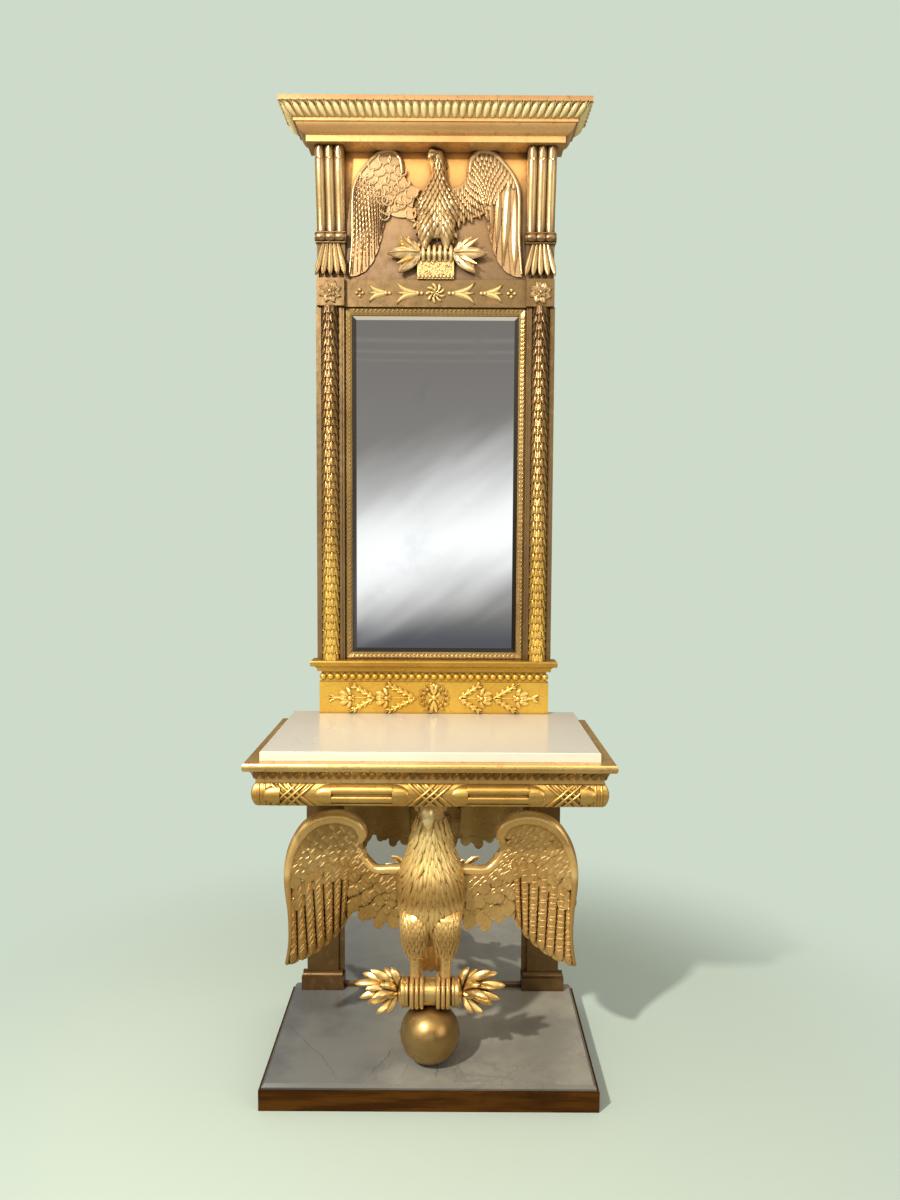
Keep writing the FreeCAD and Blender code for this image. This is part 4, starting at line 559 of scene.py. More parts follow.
def tube(bm, rows, sides, place):
    """Adds a closed skin whose points are place(u, angle), u running 0..1 from end to end."""
    start = len(bm.verts)
    bmesh.ops.create_cone(bm, segments=sides, radius1=1.0, radius2=1.0, depth=2.0, cap_ends=True)
    bm.verts.ensure_lookup_table()
    rungs = {e for v in bm.verts[start:] for e in v.link_edges
             if abs(e.verts[0].co.z - e.verts[1].co.z) > 1.0}
    bmesh.ops.subdivide_edges(bm, edges=list(rungs), cuts=rows - 1)
    bm.verts.ensure_lookup_table()
    for v in bm.verts[start:]:
        v.co = place((v.co.z + 1.0) / 2.0, math.atan2(v.co.y, v.co.x))


def upright(x, y):
    """Vertical axis for Skin.around."""
    return lambda z: Vector((x, y, z))


class Skin:
    """Surface of a node in millimetres, found by rays."""

    def __init__(self, name):
        bm = bmesh.new()
        bm.from_mesh(nodes[name].data)
        bmesh.ops.scale(bm, vec=(1 / MM, 1 / MM, 1 / MM), verts=bm.verts)
        self.tree = BVHTree.FromBMesh(bm)
        bm.free()

    def front(self, x, z, spare):
        """y of the first surface met from the front at (x, z), or spare."""
        found = self.tree.ray_cast(Vector((x, -600.0, z)), -FRONT)[0]
        return found.y if found is not None else spare

    def around(self, axis, angle, z):
        """Surface point at an angle from the front about an upright axis(z), and the way out there."""
        middle = axis(z)
        out = Vector((math.sin(angle), -math.cos(angle), 0.0))
        found = self.tree.ray_cast(middle + out * 400.0, -out)[0]
        return (found if found is not None else middle), out

    def radius(self, axis, angle, z):
        return (self.around(axis, angle, z)[0] - axis(z)).length


class Curve:
    """Smooth line through a few points, found by the share of its length."""

    def __init__(self, points):
        knots = [Vector(p) for p in points]
        ends = [2.0 * knots[0] - knots[1]] + knots + [2.0 * knots[-1] - knots[-2]]
        self.points = [knots[0]]
        for a, b, c, d in zip(ends, ends[1:], ends[2:], ends[3:]):
            for k in range(1, 9):
                u = k / 8.0
                self.points.append(0.5 * (2 * b + (c - a) * u + (2 * a - 5 * b + 4 * c - d) * u * u +
                                          (3 * b - a - 3 * c + d) * u ** 3))
        self.marks = [0.0]
        for a, b in zip(self.points, self.points[1:]):
            self.marks.append(self.marks[-1] + (b - a).length)
        self.length = self.marks[-1]

    def at(self, share):
        target = min(1.0, max(0.0, share)) * self.length
        for k in range(1, len(self.marks)):
            if self.marks[k] >= target:
                span = self.marks[k] - self.marks[k - 1] or 1.0
                return self.points[k - 1].lerp(self.points[k], (target - self.marks[k - 1]) / span)
        return self.points[-1]

    def way(self, share, step):
        """Direction of the line at a share of its length."""
        return (self.at(min(1.0, share + step)) - self.at(max(0.0, share - step))).normalized()


def leaf(bm, shape, x, z, angle, length, width, rise, surface, turn=0.0, lift=0.0):
    """Stamps a form on an upright surface, y(x, z) or one depth: it starts at (x, z) towards angle and
    turns on its way, both in degrees; lift raises its tip."""
    first = math.radians(angle)
    bend = math.radians(turn) or 0.0001

    def place(s, t, h):
        now = first + bend * s
        px = x + length / bend * (math.sin(now) - math.sin(first)) - math.sin(now) * t * width / 2.0
        pz = z - length / bend * (math.cos(now) - math.cos(first)) + math.cos(now) * t * width / 2.0
        y = surface(px, pz) if callable(surface) else surface
        return Vector((px, y - h * rise - lift * s, pz))
    stamp(bm, shape, place)


def mirrored(way, angle):
    """Heading in degrees on the right side, or its mirror on the left."""
    return angle if way > 0 else 180.0 - angle


# ------------------------------------------------------------------ forms
def peak(x):
    """1 at the middle, falling straight to 0 at -1 and 1."""
    return max(0.0, 1.0 - abs(x))


def dome(t, power=2.0):
    return 1.0 - abs(t) ** power


def arc(t, flat=1.0):
    """Half a circle across, or a flatter bow."""
    return math.sqrt(max(0.0, 1.0 - t * t * flat))


def pointed(s):
    """Widest at two fifths, with a pointed tip."""
    if s < 0.4:
        return 0.45 + 0.55 * math.sin(math.pi / 2.0 * s / 0.4)
    return max(0.06, 1.0 - ((s - 0.4) / 0.6) ** 1.9)


def rounded(s):
    return 0.86 + 0.14 * s / 0.5 if s < 0.5 else math.sqrt(max(0.012, 1.0 - ((s - 0.5) / 0.5) ** 2.6))


def drop_width(s):
    """Narrow at the root and round at the tip."""
    if s < 0.7:
        return 0.26 + 0.74 * math.sin(math.pi / 2.0 * s / 0.7)
    return math.sqrt(max(0.012, 1.0 - ((s - 0.7) / 0.3) ** 2))


def quill_width(s):
    return 1.0 if s < 0.90 else math.sqrt(max(0.02, 1.0 - ((s - 0.90) / 0.10) ** 2))


def full(s):
    return 1.0


def scale_height(s, t):
    """Covert: its edge stands off, and one slanting cut crosses its vane."""
    cut = peak((t - (s - 0.62) * 1.7) / 0.24)
    return 0.10 + 0.40 * s + 0.50 * dome(t) - 0.42 * cut * (0.25 + 0.75 * s)


def quill_height(s, t):
    """Long wing feather: raised rib, rounded vanes and slanting cuts of the gouge."""
    notch = 0.16 * peak(((s * 15.0 - t * 1.2) % 1.0 - 0.5) / 0.24) if abs(t) > 0.18 else 0.0
    return 0.10 + 0.12 * s + 0.62 * dome(t) + 0.14 * peak(t * 6.0) - notch


def cord(cuts, slant, depth):
    """Round bar, notched like a twisted cord."""
    return lambda s, t: arc(t) * (1.0 - depth * peak(((s * cuts - t * slant) % 1.0 - 0.5) / 0.3))


def leaf_height(s, t):
    """Carved leaf: a groove along its rib, veins to both sides and a turned-up tip."""
    vein = 0.13 * math.sin((s * 5.0 - abs(t) * 1.2) * TURN)
    return 0.25 + 0.35 * s + 0.50 * dome(t) - 0.42 * peak(t * 4.0) * (1.0 - s * 0.5) + vein * abs(t)


def broad_height(s, t):
    vein = 0.16 * abs(t) * math.sin((s * 3.0 - abs(t) * 0.9) * TURN)
    return 0.20 + 0.30 * s + 0.45 * dome(t) - 0.40 * peak(t * 5.0) * (1.0 - s * 0.6) + vein


def domed(s, t):
    return (0.4 + 0.6 * math.sin(math.pi * min(1.0, s * 0.62 + 0.14))) * arc(t, 0.94)


def bar_height(s, t):
    return arc(t)


HACKLE = form(6, 4, pointed, lambda s, t: 0.10 + 0.34 * s + (0.30 + 0.10 * s) * dome(t, 1.8) +
              0.22 * peak(t * 2.6))
CRACK_LINE = form(60, 2, lambda s: max(0.2, 1.0 - abs(s * 2.0 - 1.0) ** 4), lambda s, t: 1.0)
STRAND = form(6, 4, pointed, lambda s, t: 0.15 + 0.45 * s + 0.45 * dome(t, 2.2))
SCALE = form(8, 8, rounded, scale_height)
RIM = form(20, 4, full, bar_height)
QUILL = form(102, 8, quill_width, quill_height)
ROPE = form(96, 4, pointed, cord(16.0, 0.7, 0.34))
CORD = form(60, 6, pointed, cord(7.0, 0.6, 0.22))
BROAD = form(40, 8, pointed, lambda s, t: 0.10 + 0.75 * dome(t, 2.2) + 0.15 * peak(t * 5.0))
DASH = form(5, 4, rounded, lambda s, t: 0.10 + 0.25 * s + 0.60 * dome(t))
BROAD_LEAF = form(14, 10, pointed, broad_height)
LEAF = form(12, 6, pointed, leaf_height)
TINY_LEAF = form(4, 4, pointed, domed)
DROP = form(8, 6, drop_width, domed)
EGG = form(8, 6, lambda s: math.sqrt(max(0.02, 1.0 - abs(s * 2.0 - 1.1) ** 3)) if s < 0.98 else 0.3,
           lambda s, t: arc(t, 0.94) * (0.55 + 0.45 * math.sin(math.pi * s)))
REED = form(40, 8, lambda s: math.sqrt(max(0.02, 1.0 - max(0.0, abs(s - 0.5) * 2.0 - 0.96) ** 2 / 0.0016)),
            bar_height)
PETAL = form(12, 6, pointed, lambda s, t: (0.45 + 0.55 * s) * arc(t, 0.96))
STRAP = form(12, 6, full, bar_height)
RING = form(40, 6, full, bar_height, foot=-0.2)
# Small tile with a raised pointed tip
COLUMN_LEAF = form(7, 8, pointed, lambda s, t: 0.10 + 0.55 * s * dome(t, 1.6) + 0.35 * dome(t, 1.8))
# Gutter-shaped leaf with raised rims
FLUTE = form(16, 8, rounded, lambda s, t: 0.25 + 0.40 * s + 0.45 * dome(t) - 0.25 * peak(t * 3.5))
LOBE = form(9, 6, drop_width, lambda s, t: domed(s, t) * (0.55 + 0.45 * math.sin(math.pi * min(
    1.0, s * 1.1))) - 0.20 * peak(t * 4.0) * (1.0 - s))
CUP = form(12, 10, lambda s: math.sqrt(max(0.01, 1.0 - s ** 2.4)),
           lambda s, t: arc(t) * math.sqrt(max(0.0, 1.0 - s ** 2.2)))


def tongue(bm, root, tip, width, thick, curl, turn=0.0):
    """Curved flame with a ridge on its back: curl lifts its middle, turn rolls it about its own line."""
    line = tip - root
    along = line.normalized()
    side = along.cross(Vector((0.0, 0.0, 1.0)))
    side = side.normalized() if side.length > 0.05 else Vector((1.0, 0.0, 0.0))
    side = Matrix.Rotation(turn, 3, along) @ side
    up = side.cross(along).normalized()

    def place(u, angle):
        swell = max(0.04, (0.36 + 0.64 * math.sin(math.pi / 2 * min(1.0, u / 0.6))) *
                    (1.0 if u < 0.6 else math.sqrt(max(0.0, 1.0 - ((u - 0.6) / 0.4) ** 2.0))))
        ridge = 1.0 + 0.55 * max(0.0, math.sin(angle)) ** 3
        middle = root + along * (line.length * u) + up * (curl * math.sin(math.pi * u) + curl * 0.7 * u ** 3)
        return middle + side * (math.cos(angle) * width / 2 * swell) + \
            up * (math.sin(angle) * thick / 2 * swell * ridge)
    tube(bm, 12, 10, place)


def ball(bm, x, y, z, radius, squash=1.0):
    def place(u, angle):
        turn = math.pi * (0.04 + 0.92 * u)
        wide = radius * math.sin(turn)
        return Vector((x, y, z)) + Vector((wide * math.cos(angle), wide * math.sin(angle) * squash,
                                           -radius * math.cos(turn)))
    tube(bm, 8, 14, place)


class Run:
    """Moulding round the front and both sides; its profile is read off the front piece at at_x."""

    def __init__(self, name, half, line_y, at_x):
        self.skin = Skin(name)
        self.half = half
        self.line_y = line_y
        self.at_x = at_x
        self.known = {}

    def out(self, z):
        key = round(z, 1)
        if key not in self.known:
            self.known[key] = self.line_y - self.skin.front(self.at_x, key, self.line_y)
        return self.known[key]

    def front(self, u, z, rise):
        return Vector((u, self.line_y - self.out(z) - rise, z))

    def side(self, way):
        return lambda u, z, rise: Vector((way * (self.half + self.out(z) + rise), self.line_y + u, z))


# ------------------------------------------------------------------ slab
CRACKS = (((-398, 55), (-330, -45), (-262, -139), (-221, -225)), ((-96, -70), (-103, -105), (-115, -137),
          (-150, -210)), ((18, -140), (19, -180), (14, -215)))


def carve_cracks():
    """Hairline cracks in the grey slab, filled with dirt."""
    top = size_of("plinth_slab")[1].z
    bm = bmesh.new()
    for points in CRACKS:
        line = Curve(points)

        def crack(s, t, h):
            p = line.at(s)
            drift = 2.0 * math.sin(s * 23.0) + 1.2 * math.sin(s * 61.0)
            return Vector((p.x + drift + t * 0.85, p.y, top + h * 0.12))
        stamp(bm, CRACK_LINE, crack)
    piece("slab_cracks", bm, CRACK_DIRT)


# ------------------------------------------------------------------ console eagle
BODY_ROW = 19.0                 # from one row of breast feathers to the next
BODY_LENGTH = 50.0
BODY_WIDTH = 15.0
BODY_RISE = 7.0
LEG_ROW = 11.5
LEG_LENGTH = 23.0
LEG_WIDTH = 10.0
LEG_RISE = 4.4
THIGH_Z = 352.0                 # lowest row of thigh feathers
LEG_BACK_Y = -70.0              # no feathers behind this, where the body hides the thigh
SHIELD_Z = 288.0                # lowest shields of the shanks
SHIELD_ROW = 8.6
SHANK_LINE = ((37.5, -137.5, 285.0), (38.5, -134.5, 321.0), (39.5, -129.5, 349.0), (38.5, -122.0, 385.0),
              (36.5, -112.0, 425.0), (34.5, -94.0, 452.0))


def carve_body():
    """Long pointed feathers all round breast and neck, laid like tiles and parting down the middle."""
    low, high = size_of("eagle_body")
    axis = upright(0.0, (low.y + high.y) / 2.0)
    skin = Skin("eagle_body")
    bm = bmesh.new()
    for row in range(int((high.z - low.z - 24.0) / BODY_ROW)):
        z = low.z + 30.0 + row * BODY_ROW
        share = (z - low.z) / (high.z - low.z)
        width = BODY_WIDTH * (1.0 - 0.35 * share)
        length = BODY_LENGTH * (1.0 - 0.25 * share)
        count = int(math.pi * (skin.radius(axis, 0.0, z) + skin.radius(axis, math.pi / 2, z)) / width)
        for k in range(count):
            angle = TURN * (k + 0.5 * (row % 2)) / count + rng.uniform(-0.04, 0.04)
            radius = max(20.0, skin.radius(axis, angle, z))
            lean = 0.50 * math.sin(angle) + rng.uniform(-0.10, 0.10)
            reach = length * rng.uniform(0.88, 1.14)
            rise = BODY_RISE * rng.uniform(0.8, 1.2)

            def lay(s, t, h):
                down = s * reach
                side = t * width * 0.60 + down * lean
                foot, out = skin.around(axis, angle + side / radius, max(low.z + 2.0, z - down))
                return foot + out * (h * rise + 0.3)
            stamp(bm, STRAND, lay)
    piece("breast_feathers", bm, BODY_GILT)


def carve_legs():
    """Small feathers on the thighs, and shields down the shanks."""
    for way, side in SIDES:
        skin = Skin("eagle_leg_" + side)
        line = Curve([(way * x, y, z) for x, y, z in SHANK_LINE])
        foot_z, top_z = SHANK_LINE[0][2], SHANK_LINE[-1][2]

        def axis(z):
            found = line.at((z - foot_z) / (top_z - foot_z))
            return Vector((found.x, found.y, z))
        bm = bmesh.new()
        for row in range(9):
            z = THIGH_Z + row * LEG_ROW
            count = 9 if row == 0 else int(TURN * (20.0 + 18.0 * min(1.0, row / 4.0)) / LEG_WIDTH)
            for k in range(count):
                angle = TURN * (k + 0.5 * (row % 2)) / count
                foot = skin.around(axis, angle, z)[0]
                if foot.y > LEG_BACK_Y:
                    continue
                radius = max(12.0, (foot - axis(z)).length)
                lean = rng.uniform(-0.15, 0.15)
                reach = LEG_LENGTH * rng.uniform(0.9, 1.12)

                def lay(s, t, h):
                    down = s * reach
                    turned = angle + (t * LEG_WIDTH * 0.6 + down * lean) / radius
                    point, away = skin.around(axis, turned, z - down)
                    return point + away * (h * LEG_RISE + 0.2)
                stamp(bm, HACKLE, lay)
        for row in range(7):
            z = SHIELD_Z + row * SHIELD_ROW
            for angle in (-0.55, 0.55):
                def shield(s, t, h):
                    turned = angle * (1.0 if row % 2 else 0.55) + (t * 7.0) / 15.0
                    point, away = skin.around(axis, turned, z + 5.0 - s * 10.5)
                    return point + away * (h * 1.6 + 0.1)
                stamp(bm, SCALE, shield)
        piece("leg_feathers_" + side, bm, BODY_GILT)


class Wing:
    """Outline of a wing between its leading and trailing curves: a runs from root to tip, and d is
    the distance from the leading curve in millimetres."""

    def __init__(self, way, lead, trail, plate, skin, most):
        self.way = way
        self.lead = Curve(lead)
        self.trail = Curve(trail)
        self.plate = plate
        self.skin = skin
        self.most = most

    def depth(self, a):
        return (self.trail.at(a) - self.lead.at(a)).length

    def at(self, a, b):
        return self.lead.at(a).lerp(self.trail.at(a), b)

    def axes(self, a):
        """Directions down the wing and across it."""
        along = (self.at(a, 1.0) - self.at(a, 0.0)).normalized()
        return along, Vector((along.y, -along.x))

    def step(self, points):
        """How far the carved layers stand in front of the plate under these points."""
        found = [self.plate(p.x) - self.skin.front(self.way * p.x, p.y, self.plate(p.x)) for p in points]
        return min(self.most, max(found))

    def point(self, p, ahead):
        return Vector((self.way * p.x, self.plate(p.x) - ahead, p.y))

    def covert(self, bm, shape, a, d, length, width, rise, tilt):
        """One small feather that starts d below the leading curve."""
        whole = self.depth(a)
        root = self.at(a, d / whole)
        tip = self.at(a, min(1.0, (d + length) / whole))
        along, across = self.axes(a)
        step = self.step([root, root.lerp(tip, 0.5), tip, tip + across * (width * 0.3),
                          tip - across * (width * 0.3)])
        stamp(bm, shape, lambda s, t, h: self.point(
            root + along * (s * length) + across * (t * width / 2.0), step + tilt * s + h * rise))

    def rim(self, bm, a, d, wide, deep, rise):
        """Raised round edge of one scale, open at its root."""
        centre = self.at(a, min(1.0, (d + deep * 0.5) / self.depth(a)))
        along, across = self.axes(a)
        step = self.step([centre, centre + along * (deep * 0.4), centre - along * (deep * 0.4)])

        def lay(s, t, h):
            angle = 2.2 * (2.0 * s - 1.0)
            reach = (1.0 + t * 0.17) / 2.0
            return self.point(centre + along * (math.cos(angle) * deep * reach) +
                              across * (math.sin(angle) * wide * reach), step + h * rise)
        stamp(bm, RIM, lay)

    def stroke(self, bm, a, b, angle, length, width, ahead, rise):
        """Short cut that leans the same way on both wings, at an angle in degrees."""
        foot = self.at(a, b)
        step = self.step([foot]) + ahead
        turn = math.radians(angle)

        def lay(s, t, h):
            x = self.way * foot.x + math.cos(turn) * s * length - math.sin(turn) * t * width / 2.0
            z = foot.y + math.sin(turn) * s * length + math.cos(turn) * t * width / 2.0
            return Vector((x, self.plate(abs(x)) - step - h * rise, z))
        stamp(bm, STRAND, lay)

    def quill(self, bm, shape, a0, a1, b0, b1, rise, tilt, narrow=1.0):
        """One long feather between two shares of the span, laid on the carved face under it."""
        middle = (a0 + a1) / 2.0
        marks = [self.step([self.at(middle, b0 + (k + d) / 12.0 * (b1 - b0)) for d in (-0.5, 0.0, 0.5)])
                 for k in range(13)]
        top = max(marks)
        last = max(k for k in range(13) if marks[k] >= 0.8 * top)
        marks = [max(marks[k], top * (1.0 if k <= last else 1.0 - 0.75 * (k - last) / (12.0 - last)))
                 for k in range(13)]

        def lay(s, t, h):
            grow = narrow + (1.0 - narrow) * s
            k = min(11, int(s * 12.0))
            step = marks[k] + (marks[k + 1] - marks[k]) * (s * 12.0 - k)
            return self.point(self.at(middle + t * (a1 - a0) / 2.0 * grow, b0 + s * (b1 - b0)),
                              step + tilt * s + h * rise)
        stamp(bm, shape, lay)
        return lay

    def nick(self, bm, lay, start):
        """Short raised stroke across a long feather, leaning the same way on both wings."""
        def cut(s, t, h):
            u = min(1.0, max(0.0, start + 0.045 * (0.5 - s) + t * 0.010))
            v = self.way * (1.3 * s - 0.65)
            return lay(u, v, quill_height(u, v)) + FRONT * (h * 2.4)
        stamp(bm, STRAND, cut)


CONSOLE_ROLL = ((184, 594), (176, 612), (184, 636), (207, 652), (245, 660), (293, 650), (331, 616),
                (358, 552), (363, 492), (357, 416), (357, 347), (366, 281))
CONSOLE_ARM = ((190, 590), (172, 552), (142, 525), (100, 527), (62, 531))
CONSOLE_LEAD = ((80, 522), (132, 518), (160, 540), (184, 590), (190, 628), (212, 646), (248, 652),
                (302, 636), (336, 602), (354, 556))
CONSOLE_TRAIL = ((76, 397), (112, 404), (150, 403), (178, 420), (203, 416), (242, 352), (274, 322),
                 (308, 299), (338, 285), (366, 279))
WING_AXIS_Y = -600.0
WING_FACE_RADIUS = 548.0
WING_MIDDLE_X = 218.5
WING_QUILLS = 7
NICKS = 11                      # strokes across each long feather
COVERT_ROW = 20.0
COVERTS = 13                    # in a row
QUILLS_START = 0.47             # share of the span where the long feathers begin


def wing_plate(x):
    return WING_AXIS_Y + math.sqrt(WING_FACE_RADIUS ** 2 - (x - WING_MIDDLE_X) ** 2)


def wing_roll(bm, way, points, radius, ahead, plate=wing_plate):
    """Round leading edge, radius(u) thick, its middle this far in front of the wing's plate."""
    line = Curve(points)

    def place(u, angle):
        p = line.at(u)
        q = line.way(u, 0.01)
        wide = radius(u) * math.cos(angle)
        return Vector((way * (p.x - q.y * wide), plate(p.x) - ahead + radius(u) * math.sin(angle),
                       p.y + q.x * wide))
    tube(bm, 90, 16, place)


def roll_radius(u):
    """Thickest over the shoulder, then tapered down to the tip."""
    taper = 1.0 if u < 0.34 else 1.0 - 0.74 * ((u - 0.34) / 0.66) ** 0.8
    return (14.0 + 4.0 * math.sin(math.pi * min(1.0, u * 2.2))) * min(1.0, 0.55 + u * 9.0) * taper


def carve_wings():
    """Rolled edges, long feathers with nicks, small feathers like scales and short strokes over them."""
    for way, side in SIDES:
        wing = Wing(way, CONSOLE_LEAD, CONSOLE_TRAIL, wing_plate, Skin("wing_" + side), 9.5)
        bm = bmesh.new()
        wing_roll(bm, way, CONSOLE_ROLL, roll_radius, 8.0)
        wing_roll(bm, way, CONSOLE_ARM, lambda u: 10.5 + 4.0 * u * u, 4.0)
        piece("wing_roll_" + side, bm, ROLL_GILT)

        bm = bmesh.new()
        strokes = bmesh.new()
        for k in range(WING_QUILLS):
            a0, a1 = (QUILLS_START + (1.0 - QUILLS_START) * j / WING_QUILLS for j in (k, k + 1))
            lay = wing.quill(bm, QUILL, a0 + 0.005, a1 - 0.005, 0.34, 1.005, 9.0, 1.0 + 1.2 * (k % 2))
            for j in range(NICKS):
                wing.nick(strokes, lay, 0.10 + 0.80 * (j + rng.uniform(0.1, 0.9)) / NICKS)
        piece("wing_quills_" + side, bm, LIT_AND_SHADED_WING_GILT[side])

        bm = bmesh.new()
        for row in range(8, -1, -1):
            d = 2.0 + row * COVERT_ROW
            for k in range(COVERTS):
                a = 0.03 + 0.955 * (k + 0.5 * (row % 2)) / COVERTS
                whole = wing.depth(a)
                limit = 1.0 * whole if a < QUILLS_START else 0.42 * whole
                if d > limit:
                    continue
                size = (1.25 if d + 30.0 > limit else 1.0) * rng.uniform(0.86, 1.12)
                width = wing.lead.length * 0.955 / COVERTS * (1.0 - 0.35 * d / whole)
                wing.covert(bm, SCALE, a + rng.uniform(-0.010, 0.010), d + rng.uniform(-3.0, 3.0),
                            33.0 * size, max(26.0, 1.2 * width * size), 4.6, 1.6)
        piece("wing_coverts_" + side, bm, LIT_AND_SHADED_WING_GILT[side])

        for row in range(1, 12):
            for k in range(18):
                a = 0.04 + 0.94 * (k + 0.5 * (row % 2) + rng.uniform(-0.2, 0.2)) / 18.0
                b = 0.06 + row * 0.075 + rng.uniform(-0.02, 0.02)
                if b < (0.40 if a > QUILLS_START else 0.86):
                    wing.stroke(strokes, a, b, rng.uniform(32.0, 46.0), rng.uniform(9.0, 19.0), 4.4, 3.6, 3.0)
        piece("wing_strokes_" + side, strokes, STROKE_GILT)


def carve_tail():
    """Five long feathers on the front and the back of the tail, the middle one on top."""
    low, high = size_of("eagle_tail")
    skin = Skin("eagle_tail")
    bm = bmesh.new()
    pitch = (high.x - low.x) / 5
    for side in (-1, 1):
        for k in (0, 4, 1, 3, 2):
            x = low.x + pitch * (k + 0.5)
            lift = 0.6 * (2 - abs(k - 2))

            def lay(s, t, h):
                px = x * (0.62 + 0.38 * s) + t * pitch * 0.54
                pz = high.z - 8.0 - s * (high.z - low.z - 14.0)
                y = skin.front(px, pz, low.y + 5.0) if side < 0 else high.y
                return Vector((px, y + side * (h * 3.4 + lift), pz))
            stamp(bm, QUILL, lay)
    piece("tail_quills", bm, QUILL_GILT)


HEAD_Z = 690.0                  # lowest row of head feathers
HEAD_ROW = 12.0
HEAD_FEATHERS = 15              # in a row
BEAK_ROOT = Vector((-9.0, -121.0, 716.5))
# Middle line of the beak from its root: ahead and upwards.
BEAK_LINE = ((20.0, 4), (38.0, 3), (54.0, -8), (62.0, -28), (60.0, -50))


def carve_head():
    """Feathered skull with brow, eyes and a faceted hooked beak, bent a little to one side."""
    low, high = size_of("eagle_head")
    skin = Skin("eagle_head")
    axis = upright(-2.0, -110.0)
    bm = bmesh.new()
    for row in range(5):
        z = HEAD_Z + row * HEAD_ROW
        for k in range(HEAD_FEATHERS):
            angle = TURN * (k + 0.5 * (row % 2)) / HEAD_FEATHERS
            lean = 0.12 * math.sin(angle) + rng.uniform(-0.06, 0.06)

            def lay(s, t, h):
                turned = angle + t * 0.24 + s * lean
                foot, out = skin.around(axis, turned, max(low.z + 0.5, min(high.z - 1.0, z + 8.0 - s * 34.0)))
                return foot + out * (h * 6.0 + (0.3 if row < 2 else 3.0))
            stamp(bm, STRAND, lay)
    piece("carved_head", bm, BODY_GILT)

    bm = bmesh.new()
    turn = math.radians(-3.0)
    ahead = Vector((-math.sin(turn), -math.cos(turn), 0.0))
    across = Vector((math.cos(turn), -math.sin(turn), 0.0))
    line = Curve([BEAK_ROOT + ahead * out + Vector((0, 0, up)) for out, up in BEAK_LINE])

    def beak(u, angle):
        up = across.cross(line.way(u, 0.04)).normalized()
        swell = 23.0 * (1.0 - u ** 2.2) ** 0.80 + 0.8
        ridge = 1.0 + 0.22 * max(0.0, math.sin(angle)) ** 4
        flat = 0.84 if abs(math.sin(angle)) < 0.5 else 1.0
        return line.at(u) + across * (math.cos(angle) * swell * flat) + up * (math.sin(angle) * swell * ridge)
    tube(bm, 18, 12, beak)
    for way in (-1, 1):
        ball(bm, *(BEAK_ROOT + ahead * 17.0 + across * (way * 27.0) + Vector((0, 0, 6))), 6.4)
        brow = BEAK_ROOT + across * (way * 27.5) + Vector((0, 0, 15))
        tongue(bm, brow - ahead * 10.0, brow + ahead * 32.0 - across * (way * 6.0), 15.0, 9.0, 3.0)
    piece("carved_beak", bm, CLAW_GILT)


BOLT_Y = -137.5                 # axis of the thunderbolt
BOLT_Z = 241.0
FLAMES_X = 76.0                 # neck of the flames
RINGS_X = (-68.0, -57.0, 57.0, 68.0)
RINGS_RADIUS = 33.2
# Tips of the flames from the neck of the thunderbolt: outwards, forwards, upwards, and width.
FLAME_TIPS = ((114, 6, 12, 20), (98, 22, -14, 18), (86, -18, -36, 18), (60, 12, -52, 17), (30, 26, -44, 15),
              (96, -14, 34, 18), (76, 14, 58, 19), (24, -6, 60, 20), (48, 36, 30, 17), (66, 46, -2, 18),
              (60, -48, 10, 17), (44, -34, 42, 16), (46, -40, -34, 15), (84, 34, 16, 16))


def carve_flames():
    for way, side in SIDES:
        neck = Vector((way * FLAMES_X, BOLT_Y, BOLT_Z))
        bm = bmesh.new()
        for out, ahead, up, width in FLAME_TIPS:
            line = Vector((way * (out + 2.0), -ahead, up)) * 0.97
            tongue(bm, neck + line * 0.10, neck + line, width * 1.25, width * 0.78,
                   line.length * 0.12 * (1.0 if up > -20 else -0.7), rng.uniform(-0.5, 0.5))

        def heart(u, angle):
            swell = 16.0 * math.sin(math.pi * (0.16 + 0.80 * u)) ** 0.8 * (1.0 + 0.16 * math.cos(angle * 6.0))
            return neck + Vector((way * 46.0 * u, math.cos(angle) * swell, math.sin(angle) * swell))
        tube(bm, 10, 24, heart)
        piece("flames_" + side, bm, QUILL_GILT, ("thunderbolt_flames_" + side,))


def carve_bolt():
    """Pairs of round rings at both ends of the thunderbolt."""
    bm = bmesh.new()
    for x in RINGS_X:
        def ring(s, t, h):
            radius = RINGS_RADIUS + h * 4.6
            return Vector((x + t * 5.0, BOLT_Y - math.cos(TURN * s) * radius,
                           BOLT_Z + math.sin(TURN * s) * radius))
        stamp(bm, RING, ring)
    piece("thunderbolt_rings", bm, BOLT_GILT)


# ------------------------------------------------------------------ relief eagle on the tablet
PANEL_Y = 241.5
RELIEF_LEAD = ((28, 2306), (56, 2309), (74, 2320), (86, 2340), (92, 2372), (108, 2398), (128, 2406),
               (160, 2394), (190, 2362), (210, 2334), (222, 2300))
RELIEF_TRAIL = ((28, 2224), (58, 2226), (87, 2237), (112, 2243), (137, 2250), (145, 2205), (163, 2140),
                (184, 2108), (200, 2090), (235, 2080))
RELIEF_ROLL = ((92, 2350), (96, 2382), (110, 2402), (130, 2410), (160, 2399), (192, 2367), (213, 2337),
               (225, 2300), (227, 2238), (228, 2168), (235, 2084))
RELIEF_START = 0.40             # share of the span where the long feathers begin
RELIEF_X = 4.0                  # middle of its thunderbolt
RELIEF_BOLT_Z = 2137.0
RELIEF_BOLT_END = 48.0          # from its middle to the leaves
RELIEF_ROW = 13.0
RELIEF_FEATHERS_Z = 2168.0      # none below this
LABEL_Y = 229.5
LABEL_TOP = 2116.0
LABEL_BEADS_Z = 2076.0
